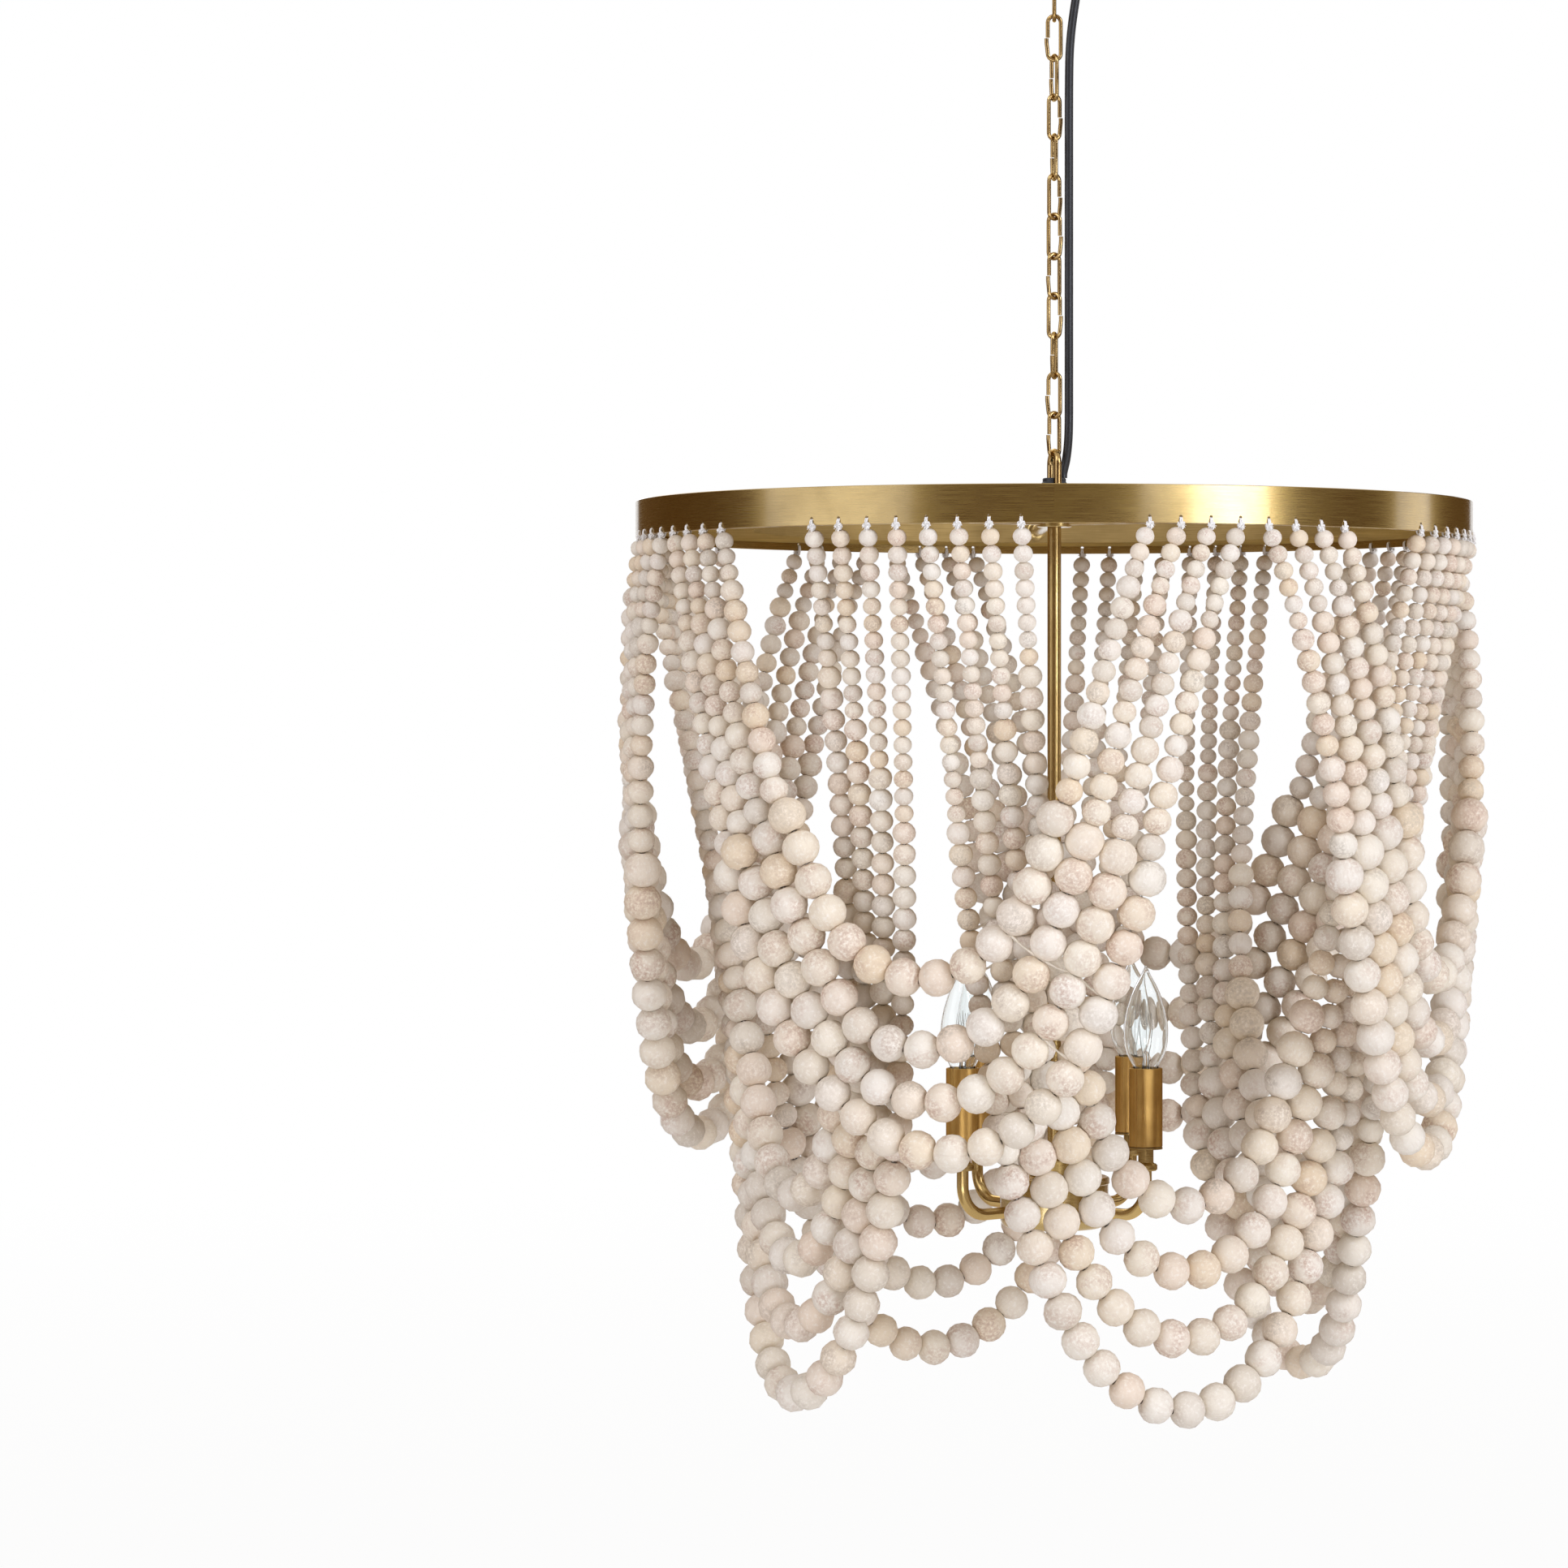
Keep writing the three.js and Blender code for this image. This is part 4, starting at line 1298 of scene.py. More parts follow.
@dataclass
class CeilingFixing:
    """Strap and screws, domed canopy, eye with its collar, and the cord's bush.

    Each rib of the bush is a profile of its radius and height in shares of the bush's own.
    """

    finishes: Finishes
    wall: float = 0.0012
    flat_radius: float = 0.031
    dome_steps: int = 16
    eye_wire: float = 0.0048
    eye_width: float = 0.017
    eye_length: float = 0.0262
    solid_wire_sides: int = 8
    collar_height: float = 0.007
    collar_edge: float = 0.16
    stem_diameter: float = 0.009
    bush_tip: float = 0.0045
    bush_root: float = 0.0058
    bush_neck: float = 0.005
    bush_flange: float = 0.0065
    bush_flange_height: float = 0.0016
    ribs: int = 6
    ribs_reach: float = 0.97
    rib_valley: float = 0.9
    rib_profile: tuple[Point, ...] = ((0.9, -0.5), (1.0, -0.3), (1.0, 0.3), (0.9, 0.5))

    def build(self) -> None:
        """Makes every piece on the ceiling."""
        kit, body = self.finishes, Body.CEILING.value
        kit.dress(self._canopy(), kit.chain_brass, "canopy", body=body)
        kit.dress(self._eye(), kit.chain_brass, "canopy_eye", body=body)
        bush = kit.paint(self._bush(), kit.rubber)
        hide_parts("cord_bush")
        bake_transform(bush)
        for name in ("mounting_strap", "strap_screw_left", "strap_screw_right"):
            kit.paint(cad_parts[name], kit.zinc_steel)

    def _canopy(self) -> Piece:
        """Makes the dome, open below, with a hole for the eye's stem.

        Returns:
            The piece.
        """
        low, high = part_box("canopy")
        flat, reach, depth = self.flat_radius, high.x - self.flat_radius, high.z - low.z
        turns = [math.pi / 2 * i / self.dome_steps for i in range(self.dome_steps + 1)]
        outer, inner = (
            [
                (flat + (reach - wall) * math.cos(a), high.z - (depth - wall) * math.sin(a))
                for a in turns
            ]
            for wall in (0.0, self.wall)
        )
        hole = self.stem_diameter / 2 + self.wall / 4
        outline = [(hole, low.z), *reversed(outer), *inner, (hole, low.z + self.wall)]
        return lathe("canopy_dome", outline, sides=96)

    def _eye(self) -> Piece:
        """Makes the collar, its stem and the oval eye.

        Returns:
            The piece.
        """
        low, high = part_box("canopy_eye")
        eye_low = low.z + self.eye_wire / 2 * math.cos(math.pi / self.solid_wire_sides)
        collar = eye_low + self.eye_length
        edge = self.collar_height * self.collar_edge
        radius, stem, top = high.x, self.stem_diameter / 2, collar + self.collar_height
        outline = [
            (0, collar), (radius - edge, collar), (radius, collar + edge), (radius, top - edge),
            (radius - edge, top), (stem, top), (stem, high.z), (0, high.z),
        ]
        turned = lathe("eye_collar", outline, sides=48)
        lift = Vector((0, 0, eye_low))
        path = [p + lift for p in oval(self.eye_width, self.eye_length, 10)]
        wire = sweep("eye_wire", path, self.eye_wire / 2, 16, True)
        return merge("canopy_eye_loop", [turned, wire])

    def _bush(self) -> Piece:
        """Makes the ribbed strain relief.

        Returns:
            The piece.
        """
        low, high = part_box("cord_bush")
        centre = ((low.x + high.x) / 2, (low.y + high.y) / 2)
        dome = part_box("canopy")[0].z
        length = dome - low.z
        step = length / self.ribs * 0.5
        outline: list[Point] = [(0, low.z), (self.bush_tip * self.rib_valley, low.z)]
        for i in range(self.ribs):
            share = (i + 0.5) / self.ribs
            radius = self.bush_tip + (self.bush_root - self.bush_tip) * share
            height = low.z + length * share * self.ribs_reach
            outline += [(radius * out, height + step * up) for out, up in self.rib_profile]
        under = high.z - self.bush_flange_height
        outline += [
            (self.bush_neck, dome), (self.bush_neck, under), (self.bush_flange, under),
            (self.bush_flange, high.z), (0, high.z),
        ]
        return lathe("cord_strain_relief", outline, centre, 32)


@dataclass
class Chain:
    """Oval links bent from round wire, each with its stepped joint halfway along one side."""

    finishes: Finishes
    turns: tuple[float, ...] = (90, 180, 114, 33, 106, 37, -29, 217, -30, 254, 154, 220)
    wire: float = 0.003
    width: float = 0.0125
    length: float = 0.0353
    cut: float = 0.0006
    joint_step: float = 0.3
    joint_length: float = 0.003
    solid_wire_sides: int = 6
    seed: int = 3

    def build(self) -> None:
        """Makes the top link and the rest of the chain as two pieces."""
        shape = self._link()
        names = [f"chain_link_{i:02d}" for i in range(1, len(self.turns) + 1)]
        self._piece("chain_top", shape, names[:1], self.turns[:1], Body.TOP_LINK.value)
        self._piece("chain_lower", shape, names[1:], self.turns[1:], Body.FIXTURE.value)
        bpy.data.objects.remove(shape)

    def _link(self) -> Piece:
        """Makes one link with its lowest point at height 0 and its joint slightly stepped.

        Returns:
            The link.
        """
        reach, side = self.length - self.wire, (self.width - self.wire) / 2
        out = side + self.wire * self.joint_step
        path = [
            Vector((side, 0, reach / 2 + self.cut / 2)),
            *oval(self.width - self.wire, reach, 9),
            *(
                Vector((out, 0, reach / 2 - self.cut / 2 - back))
                for back in (self.joint_length, 0.0)
            ),
        ]
        return sweep("link_shape", path, self.wire / 2, 12)

    def _piece(
        self, name: str, shape: Piece, nodes: Sequence[str], turns: Sequence[float], body: str
    ) -> None:
        """Copies the link to the places of some solids.

        Args:
            name: name of the piece.
            shape: one link.
            nodes: names of the solids.
            turns: each link's turn about the chain, in degrees.
            body: name of the body that the piece rides on.
        """
        rise = self.wire / 2 * math.cos(math.pi / self.solid_wire_sides)
        points = [Vector((0, 0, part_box(node)[0].z + rise)) for node in nodes]
        spins = [Matrix.Rotation(math.radians(turn), 3, "Z") for turn in turns]
        kit = self.finishes
        material = kit.material(kit.chain_brass)
        piece = CopyTree().place(name, shape, points, spins, material, seed=self.seed)
        kit.dress(piece, kit.chain_brass, *nodes, body=body)


# Ring


@dataclass
class Ring:
    """Outer band with its holes, flange, inner band, spider, loop and gland.

    The profiles of a spoke's foot and of the gland give a radius at each step: the foot's steps
    are metres back from the inner band, the gland's are shares of its height and radius.
    """

    finishes: Finishes
    bays: int = 8
    places_per_bay: int = 11
    holes_per_bay: int = 8
    turn: float = -18.5
    radius: float = 0.305
    thickness: float = 0.0025
    hole_diameter: float = 0.0024
    hole_height: float = 0.0047
    opening_radius: float = 0.220
    inner_wall: float = 0.002
    flange_rise: float = 0.0057
    flange_thickness: float = 0.002
    flange_gap: float = 0.0005
    bevel: float = 0.0004
    spokes: int = 3
    spoke_turn: float = 183.5
    spoke_rise: float = 0.015
    spoke_start: float = 0.008
    spoke_diameter: float = 0.0095
    foot_inset: float = 0.0006
    foot_profile: tuple[Point, ...] = (
        (0.0034, 0.0062), (0.0026, 0.0075), (0.0008, 0.0075), (0.0, 0.0071)
    )
    boss_radius: float = 0.0127
    boss_waist: float = 0.0105
    boss_rise: float = 0.009
    boss_rim: float = 0.0006
    boss_base: Pair = (0.003, 0.004)
    boss_cap: Place = (0.003, 0.0022, 0.0016)
    bore_radius: float = 0.0053
    bore_depth: float = 0.0203
    loop_wire: float = 0.0053
    loop_width: float = 0.019
    loop_flare: float = 1.01
    loop_turn: float = 16.0
    gland_radius: float = 0.0092
    gland_profile: tuple[Point, ...] = ((1.0, 0.45), (0.93, 0.55))
    gland_waist: float = 0.93
    gland_top: float = 0.86
    gland_slope: float = 0.12
    notch_gap: float = 0.0005

    def __post_init__(self) -> None:
        """Reads the ring's height from the frame."""
        low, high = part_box("ring_band")
        self.bottom, self.top = low.z, high.z

    def hole_azimuths(self) -> list[float]:
        """Lists the azimuths of the holes.

        Returns:
            The azimuths, in degrees.
        """
        bay = 360 / self.bays
        step = bay / self.places_per_bay
        return [
            self.turn + b * bay + (i + 0.5 - self.holes_per_bay / 2) * step
            for b in range(self.bays)
            for i in range(self.holes_per_bay)
        ]

    def build(self) -> None:
        """Makes the ring's pieces."""
        kit = self.finishes
        for make, finish, node in (
            (self._band, kit.aged_brass, "ring_band"),
            (self._channel, kit.flange_brass, "ring_channel"),
            (self._spider, kit.aged_brass, "ring_spider"),
            (self._loop, kit.chain_brass, "hub_loop"),
            (self._gland, kit.rubber, "cord_gland"),
        ):
            kit.dress(make(), finish, node)

    def _band(self) -> Piece:
        """Makes the outer band with softened edges and cuts its holes.

        Returns:
            The piece.
        """
        inner, outer, bevel = self.radius - self.thickness, self.radius, self.bevel
        outline = [
            (inner, self.bottom + bevel), (inner + bevel, self.bottom),
            (outer - bevel, self.bottom), (outer, self.bottom + bevel),
            (outer, self.top - bevel), (outer - bevel, self.top),
            (inner + bevel, self.top), (inner, self.top - bevel),
        ]
        band = lathe("brass_band", outline, sides=self.bays * self.places_per_bay * 4)
        level, reaches = self.bottom + self.hole_height, (inner - OVERCUT, outer + OVERCUT)
        return subtract(band, [
            sweep("hole", [around(a, r, level) for r in reaches], self.hole_diameter / 2, 12)
            for a in self.hole_azimuths()
        ])

    def _channel(self) -> Piece:
        """Makes the flange and the inner band as one turned piece.

        Returns:
            The piece.
        """
        outer = self.radius - self.thickness - self.flange_gap
        low = self.bottom + self.flange_rise
        high = low + self.flange_thickness
        inner, bevel = self.opening_radius, self.bevel
        wall = inner + self.inner_wall
        outline = [
            (inner, low + bevel), (inner + bevel, low), (outer, low), (outer, high),
            (wall, high), (wall, self.top - bevel), (wall - bevel, self.top),
            (inner + bevel, self.top), (inner, self.top - bevel),
        ]
        return lathe("brass_flange", outline, sides=176)

    def _spider(self) -> Piece:
        """Makes the boss, its spokes and their feet.

        Returns:
            The piece.
        """
        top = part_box("ring_spider")[1].z
        under = self.bottom + self.boss_rise
        radius, rim = self.boss_radius, self.boss_rim
        waist, bore = self.boss_waist, self.bore_radius
        base, slope = (under + rise for rise in self.boss_base)
        neck, shoulder, cap = (top - drop for drop in self.boss_cap)
        outline = [
            (bore, under), (radius - rim, under), (radius, under + rim), (radius, base),
            (waist, slope), (waist, neck), (radius - rim, shoulder), (radius, cap),
            (radius, top - rim), (radius - rim, top), (0, top),
            (0, under + self.bore_depth), (bore, under + self.bore_depth),
        ]
        parts = [lathe("boss", outline, sides=48)]
        level = self.bottom + self.spoke_rise
        reach = self.opening_radius - self.foot_inset
        for i in range(self.spokes):
            azimuth = self.spoke_turn + 360 * i / self.spokes
            ends = [around(azimuth, r, level) for r in (self.spoke_start, reach)]
            parts.append(sweep("spoke", ends, self.spoke_diameter / 2, 20))
            foot = [around(azimuth, reach - back, level) for back, _radius in self.foot_profile]
            parts.append(sweep("foot", foot, [r for _back, r in self.foot_profile], 24))
        return merge("brass_spider", parts)

    def _loop(self) -> Piece:
        """Makes the arched loop over the boss.

        Returns:
            The piece.
        """
        low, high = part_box("hub_loop")
        half = self.loop_width / 2
        spring = high.z - self.loop_wire / 2 - half
        flare = (half * self.loop_flare, (low.z + spring) / 2)
        arch = arc_points((0, spring), half, 180, 0, 18)
        flat = [(-half, low.z), (-flare[0], flare[1]), *arch, flare, (half, low.z)]
        turn = Matrix.Rotation(math.radians(self.loop_turn), 3, "Z")
        path = [turn @ Vector((0, y, z)) for y, z in flat]
        return sweep("brass_loop", path, self.loop_wire / 2, 20)

    def _gland(self) -> Piece:
        """Makes the black gland with a stepped top and notches for the loop's feet.

        Returns:
            The piece.
        """
        low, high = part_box("cord_gland")
        radius, height = self.gland_radius, high.z - low.z
        steps = [(radius * out, low.z + height * up) for out, up in self.gland_profile]
        outline = [
            (0, low.z), (radius, low.z), *steps,
            (radius * self.gland_waist, high.z - height * self.gland_slope),
            (radius * self.gland_top, high.z), (0, high.z),
        ]
        gland = lathe("black_gland", outline, sides=48)
        cutters = []
        for side in (-1, 1):
            centre = around(self.loop_turn, side * self.loop_width / 2, 0)
            ends = [Vector((*centre.xy, z)) for z in (low.z - OVERCUT, high.z + OVERCUT)]
            cutters.append(sweep("notch", ends, self.loop_wire / 2 + self.notch_gap, 24))
        return subtract(gland, cutters)


# Lamps


@dataclass
class Bulb:
    """Flame-shaped clear bulb with a threaded cap and a filament.

    The flame's profile is in shares of its height and greatest radius. A rib of the thread is in
    shares of the cap's radius and the thread's pitch. Heights inside the glass are in shares of
    the bulb's height over its cap.
    """

    finishes: Finishes
    number: int
    axis: Vector
    diameter: float = 0.032
    cap_length: float = 0.023
    glass_wall: float = 0.0008
    neck_radius: float = 0.0083
    tip_radius: float = 0.0002
    inner_drop: float = 0.3
    flame: tuple[Point, ...] = (
        (0.0, 0.55), (0.03, 0.61), (0.06, 0.68), (0.1, 0.78), (0.15, 0.88), (0.2, 0.94),
        (0.26, 0.98), (0.32, 0.995), (0.38, 1.0), (0.45, 0.97), (0.52, 0.92), (0.58, 0.86),
        (0.64, 0.77), (0.7, 0.69), (0.75, 0.6), (0.81, 0.47), (0.86, 0.34), (0.9, 0.235),
        (0.94, 0.15), (0.97, 0.09), (0.99, 0.055),
    )
    cap_radius: float = 0.0064
    cap_foot: tuple[Point, ...] = ((0.45, 0.0), (0.5, 0.001), (0.9, 0.004))
    thread_turns: int = 5
    thread_share: float = 0.62
    thread_rib: tuple[Point, ...] = ((1.0, 0.3), (1.0, 0.55), (0.9, 1.0))
    mount: tuple[Point, ...] = ((0.0, 0.0042), (0.12, 0.0034), (0.24, 0.0022), (0.3, 0.0015))
    support: tuple[Point, ...] = ((0.0012, 0.05), (0.0014, 0.26), (0.0034, 0.36), (0.0048, 0.52))
    crown: tuple[Point, ...] = ((0, 0.29), (0.0004, 0.5), (0, 0.64))
    wire: float = 0.00028
    filament_wire: float = 0.7
    crown_wire: float = 0.8
    filament_low: float = 0.52
    filament_rise: float = 0.1
    filament_depth: float = 0.0012
    filament_sway: float = 1.7
    filament_loops: int = 5

    def __post_init__(self) -> None:
        """Reads the bulb's heights from the frame."""
        low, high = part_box(f"bulb_{self.number}")
        self.low, self.high = low.z, high.z
        self.cap_top = low.z + self.cap_length
        self.tall = high.z - self.cap_top

    def build(self) -> None:
        """Makes the bulb's pieces and dresses them for its own body."""
        kit, body = self.finishes, f"bulb_{self.number}_body"
        kit.dress(self._glass(), kit.glass, f"bulb_{self.number}", body=body)
        kit.dress(self._cap(), kit.socket_brass, body=body)
        kit.dress(self._mount(), kit.glass, body=body)
        kit.dress(self._filament(), kit.filament_wire, body=body)

    def _inside(self, across: float, deep: float, up: float) -> Vector:
        """Returns a place inside the glass, by its height's share of the bulb's over the cap."""
        base = Vector((self.axis.x, self.axis.y, self.cap_top))
        return base + Vector((across, deep, self.tall * up))

    def _glass(self) -> Piece:
        """Makes the hollow flame.

        Returns:
            The piece.
        """
        neck_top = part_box(f"candle_sleeve_{self.number}")[1].z
        tall, half, wall = self.high - neck_top, self.diameter / 2, self.glass_wall
        flame = ((out * half, neck_top + up * tall) for up, out in self.flame)
        outer = [(self.neck_radius, self.cap_top), *flame]
        least, drop = self.tip_radius, wall * self.inner_drop
        inner = [(max(r - wall, least), z - drop) for r, z in outer[:-2]]
        outline = [*outer, (0, self.high), (0, outer[-3][1] - wall), *reversed(inner)]
        return lathe(f"bulb_glass_{self.number}", outline, self.axis, 64)

    def _cap(self) -> Piece:
        """Makes the screw cap, with its thread as ribs.

        Returns:
            The piece.
        """
        radius, low, top = self.cap_radius, self.low, self.cap_top
        pitch = (top - low) * self.thread_share / self.thread_turns
        outline = [(0, low), *((radius * out, low + up) for out, up in self.cap_foot)]
        for i in range(self.thread_turns):
            start = low + self.cap_foot[-1][1] + i * pitch
            outline += [(radius * out, start + pitch * up) for out, up in self.thread_rib]
        outline += [(radius, top), (0, top)]
        return lathe(f"bulb_cap_{self.number}", outline, self.axis, 32)

    def _mount(self) -> Piece:
        """Makes the glass stem inside the bulb."""
        stem = [self._inside(0, 0, up) for up, _radius in self.mount]
        return sweep(f"bulb_mount_{self.number}", stem, [r for _up, r in self.mount], 16)

    def _filament(self) -> Piece:
        """Makes two supports, the zigzag between them and the post in the middle.

        Returns:
            The piece.
        """
        parts = []
        for side in (-1, 1):
            path = [self._inside(side * across, 0, up) for across, up in self.support]
            parts.append(sweep("support", path, self.wire, 6))
        spread, bends = self.support[-1][0], self.filament_loops * 2
        zigzag = []
        for i in range(bends + 1):
            across = -spread + 2 * spread * i / bends
            deep = self.filament_depth * math.sin(i * self.filament_sway)
            up = self.filament_low + (self.filament_rise if i % 2 else 0.0)
            zigzag.append(self._inside(across, deep, up))
        parts.append(sweep("filament", zigzag, self.wire * self.filament_wire, 5))
        crown = [self._inside(across, 0, up) for across, up in self.crown]
        parts.append(sweep("crown", crown, self.wire * self.crown_wire, 5))
        return merge(f"bulb_filament_{self.number}", parts)


@dataclass
class LampCluster:
    """Rod, light hub, and four arms with candle sleeves, sockets and bulbs."""

    finishes: Finishes
    azimuths: tuple[float, ...] = (45.0, 142.0, 218.0, 315.0)
    radius: float = 0.093
    arm_diameter: float = 0.0085
    arm_start: float = 0.02
    arm_gap: float = 0.0007
    bend: float = 0.022
    solid_arm_sides: int = 8
    rod_radius: float = 0.005
    rod_bore: float = 0.0028
    drum_wall: float = 0.002
    drum_floor: float = 0.0025
    drum_edge: float = 0.007
    drum_lip: float = 0.0005
    lid_bore: float = 0.0053
    lid_depth: float = 0.012
    lid_roll: float = 0.0024
    lid_edge: float = 0.0006
    lid_crest: float = 0.0032
    lid_slope: float = 0.0042
    lid_dish: float = 0.0007
    lid_collar: float = 0.01875
    collar_edge: float = 0.001
    collar_foot: float = 0.0004
    shank_radius: float = 0.0025
    gap: float = 0.0003
    socket_collar: float = 0.00825
    socket_collar_height: float = 0.005
    socket_bead: float = 0.001
    socket_neck: float = 0.0055
    socket_seat: float = 0.0014
    socket_body: float = 0.0085
    socket_well: float = 0.0068
    socket_depth: float = 0.023
    sleeve_wall: float = 0.0012
    sleeve_diameter: float = 0.024
    sleeve_lip: float = 0.0004

    def build(self) -> None:
        """Makes all lamp pieces."""
        kit = self.finishes
        for make, finish, node in (
            (self._rod, kit.arm_brass, "centre_rod"),
            (self._drum, kit.aged_brass, "light_hub"),
            (self._lid, kit.aged_brass, "light_hub_lid"),
            (self._screw, kit.aged_brass, "light_hub_screw"),
        ):
            kit.dress(make(), finish, node)
        for i, azimuth in enumerate(self.azimuths, 1):
            centre = around(azimuth, self.radius, 0)
            kit.dress(self._arm(i, azimuth), kit.arm_brass, f"lamp_arm_{i}")
            kit.dress(self._socket(i, centre), kit.socket_brass, f"socket_{i}")
            kit.dress(self._sleeve(i, centre), kit.sleeve_brass, f"candle_sleeve_{i}")
            Bulb(kit, i, centre).build()

    def _arm_level(self) -> float:
        """Returns the height of the arms' centre lines inside the drum."""
        rise = self.arm_diameter / 2 * math.cos(math.pi / self.solid_arm_sides)
        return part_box("lamp_arm_1")[0].z + rise

    def _rod(self) -> Piece:
        """Makes the rod as a tube.

        Returns:
            The piece.
        """
        low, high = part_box("centre_rod")
        outside, bore = self.rod_radius, self.rod_bore
        outline = [(bore, low.z), (outside, low.z), (outside, high.z), (bore, high.z)]
        return lathe("centre_tube", outline, sides=40)

    def _drum(self) -> Piece:
        """Makes the drum with its round lower edge and the arms' holes.

        Returns:
            The piece.
        """
        low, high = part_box("light_hub")
        outside, edge, lip, bore = high.x, self.drum_edge, self.drum_lip, self.rod_bore
        inside, floor = outside - self.drum_wall, low.z + self.drum_floor
        corner = arc_points((outside - edge, low.z + edge), edge, -90, 0, 10)
        outline = [
            (bore, low.z), *corner, (outside, high.z - lip), (outside - lip, high.z),
            (inside, high.z), (inside, low.z + edge), (outside - edge, floor), (bore, floor),
        ]
        drum = lathe("hub_drum", outline, sides=96)
        level, width = self._arm_level(), self.arm_diameter / 2 + self.arm_gap
        reaches = (self.arm_start, outside + OVERCUT)
        return subtract(drum, [
            sweep("arm_hole", [around(a, r, level) for r in reaches], width, 24)
            for a in self.azimuths
        ])

    def _lid(self) -> Piece:
        """Makes the lid: a rolled rim, a dished top and the collar round the rod.

        Returns:
            The piece.
        """
        low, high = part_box("light_hub_lid")
        rim, collar, bore = high.x, self.lid_collar, self.lid_bore
        edge, round_off = self.lid_edge, self.collar_edge
        top = high.z - self.lid_depth
        dish = top - self.lid_dish
        roll = arc_points((rim - self.lid_roll, top - self.lid_roll), self.lid_roll, 0, 90, 6)
        outline = [
            (bore, low.z), (rim - edge, low.z), (rim, low.z + edge), *roll,
            (rim - self.lid_crest, top), (rim - self.lid_slope, dish),
            (collar + round_off, dish), (collar, top + self.collar_foot),
            (collar, high.z - round_off), (collar - round_off, high.z), (bore, high.z),
        ]
        return lathe("hub_cover", outline, sides=96)

    def _screw(self) -> Piece:
        """Makes the domed cap screw under the drum.

        Returns:
            The piece.
        """
        low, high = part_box("light_hub_screw")
        head, shank = high.x, self.shank_radius
        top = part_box("light_hub")[0].z - self.gap
        dome = arc_points((0, top), 1.0, -90, 0, 8)
        shell = [(x * head, low.z + (top - low.z) * (1 + y)) for x, y in dome]
        outline = [*shell, (shank, top), (shank, high.z), (0, high.z)]
        return lathe("hub_cap_screw", outline, sides=32)

    def _arm(self, number: int, azimuth: float) -> Piece:
        """Makes one bent arm.

        Args:
            number: the lamp's number.
            azimuth: its azimuth.

        Returns:
            The piece.
        """
        top, level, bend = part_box(f"lamp_arm_{number}")[1].z, self._arm_level(), self.bend
        turn = arc_points((self.radius - bend, level + bend), bend, -90, 0, 16)
        flat = [(self.arm_start, level), *turn, (self.radius, top)]
        path = [around(azimuth, r, z) for r, z in flat]
        return sweep(f"curved_arm_{number}", path, self.arm_diameter / 2, 24)

    def _socket(self, number: int, centre: Vector) -> Piece:
        """Makes the turned collar, neck, seat and socket body.

        Args:
            number: the lamp's number.
            centre: place of its axis.

        Returns:
            The piece.
        """
        low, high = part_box(f"socket_{number}")
        collar, neck, bead = self.socket_collar, self.socket_neck, self.socket_bead
        seat, body, well = self.sleeve_diameter / 2, self.socket_body, self.socket_well
        rise = low.z + self.socket_collar_height
        seat_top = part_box(f"candle_sleeve_{number}")[0].z - self.gap
        under, bottom = seat_top - self.socket_seat, high.z - self.socket_depth
        outline = [
            (0, low.z), (collar - bead, low.z), (collar, low.z + bead), (collar, rise - bead),
            (collar - bead, rise), (neck + bead, rise), (neck, rise + bead), (neck, under),
            (seat, under), (seat, seat_top), (body, seat_top), (body, high.z), (well, high.z),
            (well, bottom), (0, bottom),
        ]
        return lathe(f"lamp_socket_{number}", outline, centre, 40)

    def _sleeve(self, number: int, centre: Vector) -> Piece:
        """Makes the candle sleeve, its lips slightly turned in.

        Args:
            number: the lamp's number.
            centre: place of its axis.

        Returns:
            The piece.
        """
        low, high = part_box(f"candle_sleeve_{number}")
        outside, lip = self.sleeve_diameter / 2, self.sleeve_lip
        inside = outside - self.sleeve_wall
        outline = [
            (inside, low.z), (outside - lip, low.z), (outside, low.z + lip),
            (outside, high.z - lip), (outside - lip, high.z), (inside, high.z),
        ]
        return lathe(f"candle_tube_{number}", outline, centre, 48)


# Bead strands


@dataclass
class Bead:
    """One bead while its strand is laid out; a firm one stays where it is."""

    place: Vector
    home: Vector
    width: float
    strand: int
    firm: bool


@dataclass(frozen=True)
class SetPlan:
    """How the four strands of a set at one level hang.

    The counts give, for each small bead width, how many beads stand at each end of a strand: so
    many, and so many more for each step down the set.
    """

    drops: tuple[float, ...]
    counts: tuple[tuple[int, int], ...]
    bow: float
    gather: float


